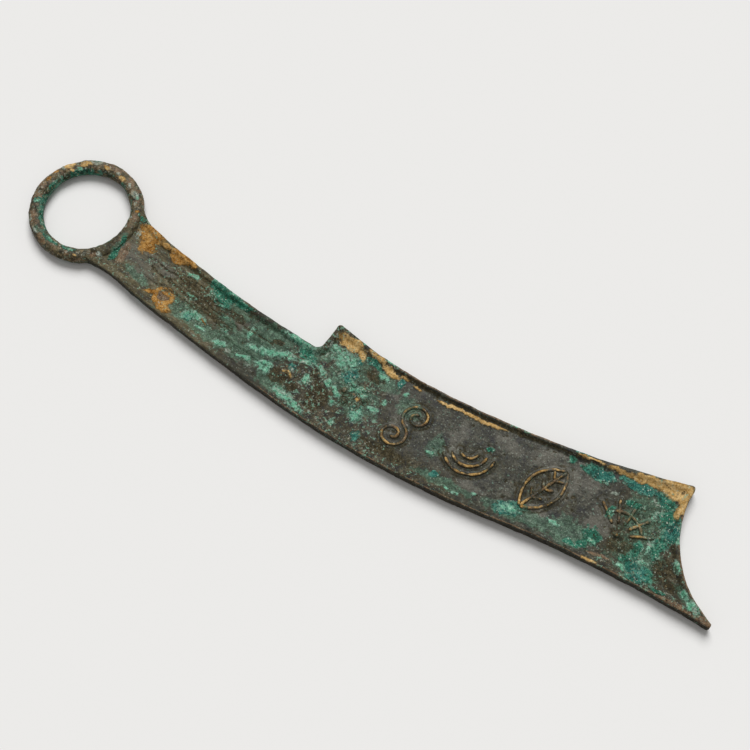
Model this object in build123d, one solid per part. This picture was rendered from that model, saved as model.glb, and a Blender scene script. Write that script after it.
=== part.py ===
from build123d import *

import os

# A knife-shaped coin, cast flat in one pour in a two-part mould.
# A suspension ring joins the grip through a flared neck, and the blade ends
# in a hollow-curved edge that runs out to a sharp point. A raised rim goes
# all round a thinner plate, so the casting rests on its rims and its ring.
# Millimetres. While it is drawn, x runs from the ring's centre to the point,
# y towards the hollow back of the knife, and z up from the reverse face.

# Overall size
overall_length = 185.0
ring_outer_radius = 13.8
ring_hole_radius = 10.4
ring_thickness = 3.0
ring_outer_round = 1.0
ring_hole_round = 0.7
round_share_of_bar = 0.45

# Section of the casting
rim_height = 2.8
rim_width = 1.9
outer_ease = 0.35
inner_ease = 0.3
plate_thickness = 1.3

# Neck, where the ring's bar flares into the grip
neck_length = 2.6
neck_back_angle = 25.0
neck_edge_angle = -54.0
neck_back_fillet = 1.5
neck_edge_fillet = 3.0

# Grip
grip_length = 50.7
back_at_shoulder = -1.8
grip_back_bow = 1.3
shoulder_fillet = 2.5
ridge_width = 1.1
ridge_height = 0.5
ridge_pitch = 3.6
ridge_end_gap = 1.2

# Blade back, from the shoulder to the upper corner of the end
shoulder_rise = 7.9
shoulder_lean = 0.5
shoulder_corner_fillet = 0.8
valley_from_shoulder = 28.2
valley_height = 3.35
valley_slope = 2.0
corner_from_point = 16.0
corner_height = 13.4
corner_fillet = 0.9

# End edge and point
end_edge_radius = 24.9
point_height = -13.4
point_blunt = 1.0
point_fillet = 0.45
point_field_end = 2.0

# Cutting edge, which hangs lowest under the root of the blade
belly_from_shoulder = 19.2
belly_depth = 18.7
belly_radius = 240.0
belly_turn_to_grip = 6.0
belly_turn_to_point = 8.3

# Low relief on the obverse of the blade
relief_height = 0.4
stroke_width = 0.9
pellet_radius = 0.85
rosette_from_shoulder = 12.5
rosette_radius = 2.6
rosette_pellets = 6
scroll_from_shoulder = 26.0
scroll_radii = (2.9, 2.0, 1.1)
scroll_tilt = 62.0
scales_from_shoulder = 42.0
scale_radii = (2.2, 4.1, 6.0)
scale_sweep = 150.0
scales_tilt = 200.0
leaf_from_shoulder = 59.5
leaf_length = 13.5
leaf_bow = 3.6
leaf_vein_stations = (-3.4, -0.2, 3.0)
leaf_vein_length = 2.6
leaf_vein_angle = 48.0
leaf_tilt = 66.0
fan_from_shoulder = 78.5
fan_rays = 5
fan_spread = 116.0
fan_inner_radius = 2.4
fan_outer_radius = 8.2
fan_arc_radius = 5.3
fan_drop = 3.4
fan_tilt = 82.0

# Plain bars across the reverse, by the root of the blade
bar_count = 3
bar_from_shoulder = 9.0
bar_pitch = 3.4
bar_width = 1.2
bar_length = 12.0

# Places that follow from the sizes above
point_from_ring = overall_length - ring_outer_radius
ring_bar_width = ring_outer_radius - ring_hole_radius
ring_bar_radius = (ring_outer_radius + ring_hole_radius) / 2
neck_end = ring_outer_radius + neck_length
shoulder_from_ring = neck_end + grip_length
corner_from_ring = point_from_ring - corner_from_point
shoulder_top = back_at_shoulder + shoulder_rise
plate_base = (rim_height - plate_thickness) / 2
plate_top = plate_base + plate_thickness
plate_joint = shoulder_from_ring + shoulder_lean + rim_width
beyond = 2 * overall_length
touching = 0.001


def on_ring_bar(angle):
    """The point at this angle on the middle circle of the ring's bar."""
    return Vector(ring_bar_radius, 0).rotate(Axis.Z, angle)


def slab(x_from, x_to):
    """A strip across the whole knife between two stations on its length."""
    return Pos((x_from + x_to) / 2, 0) * Rectangle(x_to - x_from, beyond)


def sharp_outline():
    """The flat outline of grip and blade, which starts inside the ring's bar.

    Only the hollow foot of the shoulder is rounded here.
    """
    neck_back = on_ring_bar(neck_back_angle)
    neck_heel = on_ring_bar(neck_edge_angle)
    foot = Vector(shoulder_from_ring, back_at_shoulder)
    step_top = Vector(shoulder_from_ring + shoulder_lean, shoulder_top)
    valley = Vector(shoulder_from_ring + valley_from_shoulder, valley_height)
    uphill = Vector(1, 0).rotate(Axis.Z, valley_slope)
    corner = Vector(corner_from_ring, corner_height)
    point_top = Vector(point_from_ring, point_height + point_blunt)
    point = Vector(point_from_ring, point_height)
    belly = Vector(shoulder_from_ring + belly_from_shoulder, -belly_depth)

    grip_back = SagittaArc(neck_back, foot, -grip_back_bow)
    step = Line(foot, step_top)
    back_near = TangentArc(valley, step_top, tangent=-uphill)
    back_far = TangentArc(valley, corner, tangent=uphill)
    end_edge = RadiusArc(corner, point_top, -end_edge_radius)
    point_end = Line(point_top, point)
    belly_fore = JernArc(belly, (1, 0), belly_radius, belly_turn_to_point)
    belly_aft = JernArc(belly, (-1, 0), belly_radius, -belly_turn_to_grip)
    edge_fore = TangentArc(belly_fore @ 1, point, tangent=belly_fore % 1)
    edge_aft = TangentArc(belly_aft @ 1, neck_heel, tangent=belly_aft % 1)
    closing = Line(neck_heel, neck_back)

    outline = make_face([
        grip_back, step, back_near, back_far, end_edge, point_end,
        edge_fore, belly_fore, belly_aft, edge_aft, closing,
    ])
    return fillet(outline.vertices().sort_by_distance(foot)[0], shoulder_fillet)


def eased(outline):
    """The outline with its outer corners rounded as a mould leaves them."""
    for place, radius in (
        ((shoulder_from_ring + shoulder_lean, shoulder_top), shoulder_corner_fillet),
        ((corner_from_ring, corner_height), corner_fillet),
        ((point_from_ring, point_height + point_blunt), point_fillet),
        ((point_from_ring, point_height), point_fillet),
    ):
        outline = fillet(outline.vertices().sort_by_distance(place)[0], radius)
    return outline


def rim_strip(outline, edge):
    """The strip one rim wide along the inside of one edge of the outline."""
    def inward(place, reach):
        return edge @ place + (edge % place).rotate(Axis.Z, 90) * reach

    inside = outline.faces()[0].is_inside(inward(0.5, touching))
    reach = rim_width if inside else -rim_width
    start, middle, end = (inward(place, reach) for place in (0, 0.5, 1))
    straight = edge.geom_type == GeomType.LINE
    inner = Line(start, end) if straight else ThreePointArc(start, middle, end)
    return make_face([edge, Line(edge @ 1, end), inner, Line(start, edge @ 0)])


def blade_and_grip_field(outline):
    """What the rims leave of the outline, from the neck to the solid point."""
    field = outline
    for edge in outline.edges():
        field -= rim_strip(outline, edge)
    point_start = field.bounding_box().max.X - point_field_end
    return field & slab(neck_end, point_start)


def silhouette(outline):
    """Grip, blade and ring's disc in one, with the two flares of the neck."""
    joined = outline + Circle(ring_outer_radius)
    for angle, radius in (
        (neck_back_angle, neck_back_fillet),
        (neck_edge_angle, neck_edge_fillet),
    ):
        meeting = joined.vertices().sort_by_distance(on_ring_bar(angle))[0]
        joined = fillet(meeting, radius)
    return joined


def is_level(edge, height):
    """Whether an edge lies flat at one height."""
    box = edge.bounding_box()
    return abs(box.min.Z - height) < touching and abs(box.max.Z - height) < touching


def crests(solid):
    """The edges of a solid at the level of the reverse and obverse crests."""
    return solid.edges().filter_by(
        lambda edge: is_level(edge, 0) or is_level(edge, rim_height)
    )


def suspension_ring():
    """The ring, its bar rounded outside and in, with a straight inner land."""
    middle = Pos(ring_bar_radius, ring_thickness / 2)
    bar = middle * Rectangle(ring_bar_width, ring_thickness)
    largest_round = ring_bar_width * round_share_of_bar
    hole_round = min(ring_hole_round, largest_round)
    outer_round = min(ring_outer_round, largest_round)
    bar = fillet(bar.vertices().group_by(Axis.X)[0], hole_round)
    bar = fillet(bar.vertices().group_by(Axis.X)[-1], outer_round)
    return revolve(Plane.XZ * bar, Axis.Z)


def rim_frame(joined, field):
    """The casting at rim height, cut through at the field, crests eased."""
    blank = extrude(joined, rim_height)
    blank = chamfer(crests(blank), outer_ease)
    blank -= extrude(Circle(ring_outer_radius), rim_height)
    blank -= extrude(field, rim_height)
    wall = field.faces()[0].outer_wire()

    def on_wall(edge):
        middle = edge @ 0.5
        return wall.distance_to(Vector(middle.X, middle.Y, 0)) < touching

    return chamfer(crests(blank).filter_by(on_wall), inner_ease)


def rim_piece(frame, x_from, x_to, back):
    """The rim between two stations, along the back or along the edge."""
    cut = frame & extrude(slab(x_from, x_to), rim_height)
    pieces = cut.solids().sort_by(Axis.Y)
    return pieces[-1] if back else pieces[0]


def field_middle(field, station):
    """The point halfway across the field at a station."""
    box = (field & slab(station, station + touching)).bounding_box()
    return Vector(station, (box.min.Y + box.max.Y) / 2)


def grip_ridges(field, base):
    """Two ridges along the grip's field, on one face of the plate."""
    start = field_middle(field, neck_end + ridge_end_gap)
    end = field_middle(field, shoulder_from_ring - shoulder_fillet)
    along = end - start
    line = Line(start, end)
    ridges = Sketch()
    for side in (-0.5, 0.5):
        ridges += trace(line.moved(Pos(0, side * ridge_pitch)), ridge_width)
    return Pos(0, 0, base) * extrude(ridges, ridge_height)


def rosette():
    """A pellet in a ring of pellets."""
    pellet = Circle(pellet_radius)
    around = [place * pellet for place in PolarLocations(rosette_radius, rosette_pellets)]
    return Sketch() + [pellet, *around]


def scroll():
    """An S of two spirals, each of half circles that shrink as they curl in."""
    arcs = []
    end = 0.0
    for turn, radius in enumerate(scroll_radii):
        way = 1 if turn % 2 == 0 else -1
        start_angle = 180 if way > 0 else 0
        arcs.append(CenterArc((end + way * radius, 0), radius, start_angle, -180))
        end += 2 * way * radius
    spiral = trace(arcs, stroke_width)
    return spiral + Rot(0, 0, 180) * spiral


def scales():
    """Arcs one inside the next, as on a fish's scale."""
    centre = (0, -scale_radii[0])
    first = 90 - scale_sweep / 2
    arcs = [CenterArc(centre, radius, first, scale_sweep) for radius in scale_radii]
    return Sketch() + [trace(arc, stroke_width) for arc in arcs]


def leaf():
    """A pointed leaf with a midrib and pairs of veins."""
    stem, tip = (-leaf_length / 2, 0), (leaf_length / 2, 0)
    strokes = [
        SagittaArc(stem, tip, leaf_bow),
        SagittaArc(stem, tip, -leaf_bow),
        Line(stem, tip),
    ]
    for station in leaf_vein_stations:
        for side in (-1, 1):
            vein = Vector(leaf_vein_length, 0).rotate(Axis.Z, side * leaf_vein_angle)
            strokes.append(Line((station, 0), Vector(station, 0) + vein))
    return Sketch() + [trace(line, stroke_width) for line in strokes]


def fan():
    """Rays that spread from a pellet, tied by one arc."""
    first = -fan_spread / 2
    strokes = [CenterArc((0, 0), fan_arc_radius, first, fan_spread)]
    for ray in range(fan_rays):
        way = Vector(1, 0).rotate(Axis.Z, first + ray * fan_spread / (fan_rays - 1))
        strokes.append(Line(way * fan_inner_radius, way * fan_outer_radius))
    drawn = Sketch() + [trace(line, stroke_width) for line in strokes]
    return Pos(-fan_drop, 0) * (drawn + Circle(pellet_radius))


def raised_mark(field, motif, from_shoulder, tilt=0.0):
    """A motif in low relief, midway across the obverse field."""
    place = field_middle(field, shoulder_from_ring + from_shoulder)
    drawn = (Pos(place.X, place.Y) * Rot(0, 0, tilt) * motif) & field
    return Pos(0, 0, plate_top) * extrude(drawn, relief_height)


def reverse_bars(field):
    """Plain bars across the reverse, side by side."""
    bars = Sketch()
    for number in range(bar_count):
        station = shoulder_from_ring + bar_from_shoulder + number * bar_pitch
        place = field_middle(field, station)
        bars += Pos(place.X, place.Y) * SlotOverall(bar_length, bar_width, rotation=90)
    return Pos(0, 0, plate_base - relief_height) * extrude(bars & field, relief_height)


def knife_money():
    """Every feature of the casting as its own solid, by name."""
    outline = sharp_outline()
    joined = silhouette(eased(outline))
    field = blade_and_grip_field(outline)
    point_start = field.bounding_box().max.X
    frame = rim_frame(joined, field)
    step_start = shoulder_from_ring - shoulder_fillet
    end_start = corner_from_ring - rim_width
    plate = Pos(0, 0, plate_base) * extrude(field, plate_thickness)
    grip_part = extrude(slab(0, plate_joint), rim_height)

    solids = {
        "suspension_ring": suspension_ring(),
        "ring_neck": frame & extrude(slab(0, neck_end), rim_height),
        "grip_plate": plate & grip_part,
        "grip_back_rim": rim_piece(frame, neck_end, step_start, True),
        "grip_edge_rim": rim_piece(frame, neck_end, plate_joint, False),
        "grip_ridges_obverse": grip_ridges(field, plate_top),
        "grip_ridges_reverse": grip_ridges(field, plate_base - ridge_height),
        "shoulder_rim": rim_piece(frame, step_start, plate_joint, True),
        "blade_plate": plate - grip_part,
        "blade_back_rim": rim_piece(frame, plate_joint, end_start, True),
        "blade_edge_rim": rim_piece(frame, plate_joint, point_start, False),
        "blade_end_rim": rim_piece(frame, end_start, point_start, True),
        "blade_point": frame & extrude(slab(point_start, beyond), rim_height),
        "rosette_relief": raised_mark(field, rosette(), rosette_from_shoulder),
        "scroll_relief": raised_mark(field, scroll(), scroll_from_shoulder, scroll_tilt),
        "scales_relief": raised_mark(field, scales(), scales_from_shoulder, scales_tilt),
        "leaf_relief": raised_mark(field, leaf(), leaf_from_shoulder, leaf_tilt),
        "fan_relief": raised_mark(field, fan(), fan_from_shoulder, fan_tilt),
        "reverse_bars": reverse_bars(field),
    }
    box = joined.bounding_box()
    centred = Pos(-(box.min.X + box.max.X) / 2, -(box.min.Y + box.max.Y) / 2, 0)
    return {name: centred * solid for name, solid in solids.items()}, centred


if __name__ == "__main__":
    os.makedirs("parts", exist_ok=True)
    pieces, centred = knife_money()
    for name, piece in pieces.items():
        export_step(piece, f"parts/{name}.step")
    print("ring centre at", centred.position)
    print("pieces:", len(pieces))
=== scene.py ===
# %% [markdown]
# This lesson gives a knife-shaped bronze coin its looks. The real coin was cast flat in one
# pour and then lay in the ground for more than two thousand years. The CAD model holds its
# sizes. Here we rebuild its skin: worn rims, low relief, pits, green malachite crust and
# yellow earth. We start by loading the CAD model as a fixed frame.

import math

import bpy
import numpy as np
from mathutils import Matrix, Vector


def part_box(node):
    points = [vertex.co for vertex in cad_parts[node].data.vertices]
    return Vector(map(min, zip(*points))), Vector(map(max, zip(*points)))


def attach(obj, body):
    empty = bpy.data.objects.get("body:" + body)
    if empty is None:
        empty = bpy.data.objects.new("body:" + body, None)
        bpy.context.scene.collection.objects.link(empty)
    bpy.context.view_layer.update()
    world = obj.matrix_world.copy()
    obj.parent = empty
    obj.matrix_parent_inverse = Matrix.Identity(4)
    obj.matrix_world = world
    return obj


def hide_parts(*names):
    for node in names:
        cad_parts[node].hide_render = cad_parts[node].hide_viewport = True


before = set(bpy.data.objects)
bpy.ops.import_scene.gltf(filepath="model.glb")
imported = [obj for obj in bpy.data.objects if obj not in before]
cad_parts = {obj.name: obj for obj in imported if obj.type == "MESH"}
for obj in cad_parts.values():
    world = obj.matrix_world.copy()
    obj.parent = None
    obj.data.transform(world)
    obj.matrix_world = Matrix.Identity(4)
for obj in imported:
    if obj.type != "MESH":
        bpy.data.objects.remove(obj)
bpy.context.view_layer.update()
print("CAD nodes:", len(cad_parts))

# %% [markdown]
# Small things are easier to think about in millimetres, so every helper here works in
# millimetres, with x running from the middle of the ring to the point and z up from the
# reverse. The frame says where that ring is, and how thick the ring, the rims and the plate are.

# %% Sizes that the frame gives
MM = 0.001
ring_low, ring_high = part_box("suspension_ring")
ring_middle = (ring_low + ring_high) / 2
ring_outer = (ring_high.x - ring_low.x) / 2 / MM
ring_thick = ring_high.z / MM
ring_bar = 3.4
rim_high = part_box("blade_back_rim")[1].z / MM
plate_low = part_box("blade_plate")[0].z / MM
plate_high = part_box("blade_plate")[1].z / MM
tip_x = (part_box("blade_point")[1].x - ring_middle.x) / MM
print("ring radius", round(ring_outer, 2), "rim", round(rim_high, 2), "plate", round(plate_high, 2))


def in_scene(places):
    """Millimetres from the ring's middle, turned into the scene's metres."""
    return np.asarray(places, float) * MM + (ring_middle.x, ring_middle.y, 0.0)


# %% [markdown]
# The camera comes first, because it decides which details will be seen. The photograph looks
# down at the coin from a little in front, and the ring, which is round, shows as an ellipse:
# that gave the height of the view. The lens is a long one, so near and far ends differ little.

# %% The camera
VIEW_ANGLE = 31.44
VIEW_HEIGHT = 67.0
VIEW_DISTANCE = 319.3
VIEW_AIM = (80.55, 0.165, 0.0)
FOCAL_LENGTH = 67.2


def seen_from(angle, height, distance):
    """A place at this angle round the coin, height above it and distance from where we aim."""
    turn, lift = math.radians(angle), math.radians(height)
    flat = math.cos(lift)
    way = Vector((math.sin(turn) * flat, -math.cos(turn) * flat, math.sin(lift)))
    return Vector(in_scene(VIEW_AIM)) + way * distance * MM


def look_at(item, target):
    """Turns a camera or lamp so that it points at a place."""
    item.rotation_euler = (target - item.location).to_track_quat("-Z", "Y").to_euler()


camera_data = bpy.data.cameras.new("camera")
camera_data.lens = FOCAL_LENGTH
camera_data.sensor_width = 36.0
camera_data.clip_start = 0.01
camera = bpy.data.objects.new("camera", camera_data)
camera.location = seen_from(VIEW_ANGLE, VIEW_HEIGHT, VIEW_DISTANCE)
look_at(camera, Vector(in_scene(VIEW_AIM)))
bpy.context.scene.collection.objects.link(camera)
bpy.context.scene.camera = camera
print("camera at", [round(v, 4) for v in camera.location])

# %% [markdown]
# A plain studio: a pale floor, an even world, and one soft lamp beyond the coin to the left,
# where the photograph's light comes from. Together they light a surface about as brightly as
# its own colour says. The lamp is a sun with a wide angle, which shades as softly as a large
# softbox does but lights the whole floor alike, so no part of it clips to white. What the
# camera and the gloss see of the world is as pale as the floor, and so there is no horizon.

# %% The studio
WORLD_STRENGTH = 0.34
KEY_STRENGTH = 2.95
KEY_SPREAD = 39.0
SEEN_COLOUR = (0.838, 0.83, 0.815, 1.0)
KEY_PLACE = (205.0, 50.0, 1200.0)
FLOOR_COLOUR = (0.79, 0.785, 0.775, 1.0)


def principled(material):
    """The shader that a new material comes with."""
    material.use_nodes = True
    return material.node_tree.nodes["Principled BSDF"]


world = bpy.data.worlds.new("studio")
world.use_nodes = True
sky = world.node_tree
lighting = sky.nodes["Background"]
lighting.inputs["Color"].default_value = (1.0, 0.99, 0.97, 1.0)
lighting.inputs["Strength"].default_value = WORLD_STRENGTH
seen = sky.nodes.new("ShaderNodeBackground")
seen.inputs["Color"].default_value = SEEN_COLOUR
path_kind = sky.nodes.new("ShaderNodeLightPath")
chosen = path_kind.outputs["Is Camera Ray"]
for kind in ("Is Glossy Ray", "Is Transmission Ray"):
    either = sky.nodes.new("ShaderNodeMath")
    either.operation = "MAXIMUM"
    sky.links.new(chosen, either.inputs[0])
    sky.links.new(path_kind.outputs[kind], either.inputs[1])
    chosen = either.outputs[0]
choice = sky.nodes.new("ShaderNodeMixShader")
sky.links.new(chosen, choice.inputs["Fac"])
sky.links.new(lighting.outputs[0], choice.inputs[1])
sky.links.new(seen.outputs[0], choice.inputs[2])
sky.links.new(choice.outputs[0], sky.nodes["World Output"].inputs["Surface"])
bpy.context.scene.world = world

floor_side = 30.0
floor_level = -0.00013
corners = [(-floor_side, -floor_side), (floor_side, -floor_side)]
corners += [(floor_side, floor_side), (-floor_side, floor_side)]
floor_mesh = bpy.data.meshes.new("floor")
floor_mesh.from_pydata([(x, y, floor_level) for x, y in corners], [], [(0, 1, 2, 3)])
floor = bpy.data.objects.new("floor", floor_mesh)
bpy.context.scene.collection.objects.link(floor)
floor_material = bpy.data.materials.new("pale_floor")
principled(floor_material).inputs["Base Color"].default_value = FLOOR_COLOUR
principled(floor_material).inputs["Roughness"].default_value = 1.0
principled(floor_material).inputs["Specular IOR Level"].default_value = 0.0
floor_mesh.materials.append(floor_material)

key_data = bpy.data.lights.new("key", "SUN")
key_data.angle = math.radians(KEY_SPREAD)
key_data.energy = KEY_STRENGTH
key = bpy.data.objects.new("key", key_data)
key.location = seen_from(KEY_PLACE[0], KEY_PLACE[1], KEY_PLACE[2])
look_at(key, Vector(in_scene(VIEW_AIM)))
bpy.context.scene.collection.objects.link(key)
print("key lamp at", [round(v, 3) for v in key.location])

bpy.context.scene.view_settings.view_transform = "Standard"

# %% [markdown]
# The outline of the coin is a chain of arcs: the hollow back of the grip, the step of the
# shoulder, the long curve of the blade's back, the hollow end, and the cutting edge, which
# hangs lowest under the root of the blade. We draw each as a row of points, and round the
# corners where one meets the next. These are the same arcs that the CAD model has.

# %% Arcs
def arc_from(start, heading, end, count=160):
    """The arc that leaves start in the direction heading and arrives at end."""
    start, heading, end = (np.array(v, float) for v in (start, heading, end))
    heading = heading / np.linalg.norm(heading)
    across = np.array((-heading[1], heading[0]))
    chord = end - start
    turn = 2 * math.atan2(chord @ across, chord @ heading)
    bend = 2 * (chord @ across) / (chord @ chord)
    steps = np.linspace(0, turn, count)[:, None]
    return start + (np.sin(steps) * heading + (1 - np.cos(steps)) * across) / bend


def arc_bowed(start, end, bow, count=160):
    """The arc from start to end that stands off its chord by bow, to the left if positive."""
    chord = np.subtract(end, start)
    lean = 2 * math.atan2(2 * bow, np.linalg.norm(chord))
    heading = (chord[0] * math.cos(lean) - chord[1] * math.sin(lean),
               chord[0] * math.sin(lean) + chord[1] * math.cos(lean))
    return arc_from(start, heading, end, count)


def steady_arc(start, heading, radius, turn, count=60):
    """The arc that leaves start along x (heading 1 or -1) and turns by some degrees, upwards."""
    steps = np.radians(np.linspace(0, turn, count))[:, None]
    return np.asarray(start) + np.hstack((heading * np.sin(steps), 1 - np.cos(steps))) * radius


def heading_at_end(path):
    """The direction in which a path arrives."""
    return path[-1] - path[-2]


def lengths_along(path):
    """The distance along a path of each of its points."""
    return np.concatenate(([0], np.cumsum(np.linalg.norm(np.diff(path, axis=0), axis=1))))


def at_lengths(path, wanted):
    """The points of a path at these distances along it."""
    along = lengths_along(path)
    return np.stack([np.interp(wanted, along, path[:, axis]) for axis in range(2)], 1)


def cut(path, start=0.0, end=0.0):
    """A path without its first and last stretches."""
    along = lengths_along(path)
    inside = along[(along > start) & (along < along[-1] - end)]
    return at_lengths(path, np.concatenate(([start], inside, [along[-1] - end])))


def rounded(before, after, radius, count=12):
    """Two paths that meet at a corner, and the arc that rounds it: before, arc, after."""
    arriving, leaving = heading_at_end(before), after[1] - after[0]
    cosine = arriving @ leaving / np.linalg.norm(arriving) / np.linalg.norm(leaving)
    reach = radius * math.tan(math.acos(np.clip(cosine, -1, 1)) / 2)
    before, after = cut(before, end=reach), cut(after, start=reach)
    return before, arc_from(before[-1], heading_at_end(before), after[0], 2 * count + 1), after


def joined(*paths):
    """Paths that follow each other, as one path."""
    return np.vstack([paths[0]] + [path[1:] for path in paths[1:]])


# %% Outline of grip and blade
shoulder = (67.1, -1.8)
step_top = (67.6, 6.1)
valley = (95.3, 3.55)
valley_slope = math.radians(2.0)
corner = (155.2, 13.4)
tip_top = (tip_x, -12.4)
tip_low = (tip_x, -13.4)
belly = (86.3, -18.7)
end_radius = 24.9

uphill = (math.cos(valley_slope), math.sin(valley_slope))
downhill = (-uphill[0], -uphill[1])
grip_back = arc_bowed((10.9, 5.5), shoulder, -1.5)
step = np.linspace(shoulder, step_top, 40)
back_near = arc_from(valley, downhill, step_top)[::-1]
back_far = arc_from(valley, uphill, corner)
end_chord = math.dist(corner, tip_top)
end_bow = end_radius - math.sqrt(end_radius ** 2 - end_chord ** 2 / 4)
blade_end = arc_bowed(corner, tip_top, -end_bow)
tip_face = np.linspace(tip_top, tip_low, 20)
belly_fore = steady_arc(belly, 1, 240.0, 8.3)
belly_aft = steady_arc(belly, -1, 240.0, 6.0)
edge_fore = joined(belly_fore, arc_from(belly_fore[-1], heading_at_end(belly_fore), tip_low))
edge_aft = joined(belly_aft, arc_from(belly_aft[-1], heading_at_end(belly_aft), (7.11, -9.79)))

grip_back, foot_arc, step = rounded(grip_back, step, 1.7)
step, shoulder_arc, back_near = rounded(step, back_near, 0.8)
back_far, corner_arc, blade_end = rounded(back_far, blade_end, 0.8)
blade_end, tip_arc_top, tip_face = rounded(blade_end, tip_face, 0.45)
tip_face, tip_arc_low, edge_fore_back = rounded(tip_face, edge_fore[::-1], 0.45)
print("blade back", round(lengths_along(joined(back_near, back_far))[-1], 1), "mm long")

# %% [markdown]
# Grip and blade each become a grid of square cells stretched between four sides, which is
# called a Coons patch. Rows of cells then follow the rims, so the rims stay crisp, and there
# are no stray faces. The two grids meet at a seam below the step, where they share their
# points. The grip's first side lies hidden inside the ring's bar, and the two flares of the
# neck are soft curves that leave the ring along its own round.

# %% The four sides of each grid
def soft_curve(start, start_pull, end_pull, end, count=60):
    """A curve from start to end that is pulled towards two more places on its way."""
    t = np.linspace(0, 1, count)[:, None]
    places = np.array((start, start_pull, end_pull, end), float)
    shares = ((1 - t) ** 3, 3 * t * (1 - t) ** 2, 3 * t ** 2 * (1 - t), t ** 3)
    return sum(share * place for share, place in zip(shares, places))


def halves(path):
    """The first and the second half of a path."""
    middle = lengths_along(path)[-1] / 2
    return cut(path, end=middle), cut(path, start=middle)


def from_station(path, station):
    """The part of a path, drawn towards greater x, that lies beyond a station."""
    beyond = path[path[:, 0] > station]
    height = np.interp(station, path[:, 0], path[:, 1])
    return np.vstack([[(station, height)], beyond])


flare_end_back, flare_end_edge = 16.5, 21.0
seam_foot = 68.4
foot_before, foot_after = halves(foot_arc)
shoulder_before, shoulder_after = halves(shoulder_arc)
corner_before, corner_after = halves(corner_arc)
tip_before, tip_after = halves(tip_face)

edge = joined(edge_aft[::-1], edge_fore_back[::-1])
blade_edge = from_station(edge, seam_foot)
grip_edge = from_station(edge[edge[:, 0] < seam_foot], flare_end_edge)
grip_edge = np.vstack([grip_edge, blade_edge[:1]])
back_line = from_station(grip_back, flare_end_back)
flare_back = soft_curve((8.1, 9.0), (11.9, 8.0), (13.2, 5.1), back_line[0])
flare_edge = soft_curve((3.9, -11.45), (8.6, -10.9), (11.5, -9.7), grip_edge[0])
seam = soft_curve(blade_edge[0], (seam_foot + 0.6, -12.0), (68.9, -4.2), foot_before[-1])

blade_sides = {
    "low": joined(blade_edge, tip_arc_low[::-1], tip_after[::-1]),
    "high": joined(shoulder_after, back_near, back_far, corner_before),
    "start": joined(foot_after, step, shoulder_before),
    "end": joined(corner_after, blade_end, tip_arc_top, tip_before)[::-1],
}
ring_inside = (ring_outer + ring_outer - ring_bar) / 2
angle_low = math.atan2(flare_edge[0][1], flare_edge[0][0])
angle_high = math.atan2(flare_back[0][1], flare_back[0][0])
angles = np.linspace(angle_low, angle_high, 80)[:, None]
ring_side = np.hstack((np.cos(angles), np.sin(angles))) * ring_inside
ring_side = np.vstack([flare_edge[:1], ring_side[1:-1], flare_back[:1]])
grip_sides = {
    "low": joined(flare_edge, grip_edge),
    "high": joined(flare_back, back_line, foot_before),
    "start": ring_side,
    "end": seam,
}
whole_outline = joined(
    flare_edge, grip_edge, blade_sides["low"], blade_sides["end"],
    blade_sides["high"][::-1], blade_sides["start"][::-1], grip_sides["high"][::-1],
)
print("outline points:", len(whole_outline))

# %% [markdown]
# A grid needs more rows close to an edge, where the rim rounds over, than in the middle. The
# helper below spaces them, and the next one fills in the places between the four sides.

# %% Grids between four sides
EDGE_STEPS = (0.05, 0.12, 0.2, 0.3, 0.42, 0.56, 0.74, 0.96)


def spaced(length, cell):
    """Distances along a side: close together at both ends, one cell apart between."""
    near = np.array((0.0,) + EDGE_STEPS)
    count = max(2, round((length - 2 * near[-1]) / cell))
    middle = np.linspace(near[-1], length - near[-1], count + 1)[1:-1]
    return np.concatenate([near, middle, (length - near)[::-1]])


def filled(low, high, start, end, columns, rows):
    """Places inside four sides, for shares 0 to 1 along the columns and up the rows."""
    u, v = columns[None, :, None], rows[:, None, None]
    straight = (1 - v) * low[None] + v * high[None]
    sideways = (1 - u) * start[:, None] + u * end[:, None]
    below = (1 - u) * low[0] + u * low[-1]
    above = (1 - u) * high[0] + u * high[-1]
    return straight + sideways - (1 - v) * below - v * above


def shares(lengths):
    return lengths / lengths[-1]


def on_side(path, parts):
    """Points of a path at shares 0 to 1 of its length."""
    return at_lengths(path, parts * lengths_along(path)[-1])


# %% Lay out both grids
CELL = 0.27
ROW_CELL = 0.29
seam_lengths = spaced(lengths_along(seam)[-1], ROW_CELL)
step_lengths = spaced(lengths_along(blade_sides["start"])[-1], ROW_CELL * 1.2)
blade_rows = shares(np.concatenate([seam_lengths, seam_lengths[-1] + step_lengths[1:]]))
grip_rows = shares(seam_lengths)
blade_columns = shares(spaced(lengths_along(blade_sides["low"])[-1], CELL))
grip_columns = shares(spaced(lengths_along(grip_sides["low"])[-1], CELL * 0.9))

seam_places = at_lengths(seam, seam_lengths)
blade_start = np.vstack([seam_places, at_lengths(blade_sides["start"], step_lengths)[1:]])
blade_plan = filled(
    on_side(blade_sides["low"], blade_columns), on_side(blade_sides["high"], blade_columns),
    blade_start, on_side(blade_sides["end"], blade_rows), blade_columns, blade_rows,
)
grip_plan = filled(
    on_side(grip_sides["low"], grip_columns), on_side(grip_sides["high"], grip_columns),
    on_side(ring_side, grip_rows), seam_places, grip_columns, grip_rows,
)
print("blade grid", blade_plan.shape, "grip grid", grip_plan.shape)

# %% [markdown]
# Old metal is never even. A noise that gives every place in space its own value, the same in
# each run, lets us roughen edges, wear crests and break up patches. It works on places, so
# two pieces that meet get the same value where they touch.

# %% Noise
def chance(i, j, k, seed):
    """A value from -1 to 1 for each whole-numbered place, which looks random but repeats."""
    mixed = (i * 374761393 + j * 668265263 + k * 1442695041 + seed * 1274126177) & 0xFFFFFFFF
    mixed = ((mixed ^ (mixed >> 13)) * 1103515245) & 0xFFFFFFFF
    return (mixed ^ (mixed >> 16)) / 2147483647.5 - 1


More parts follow.
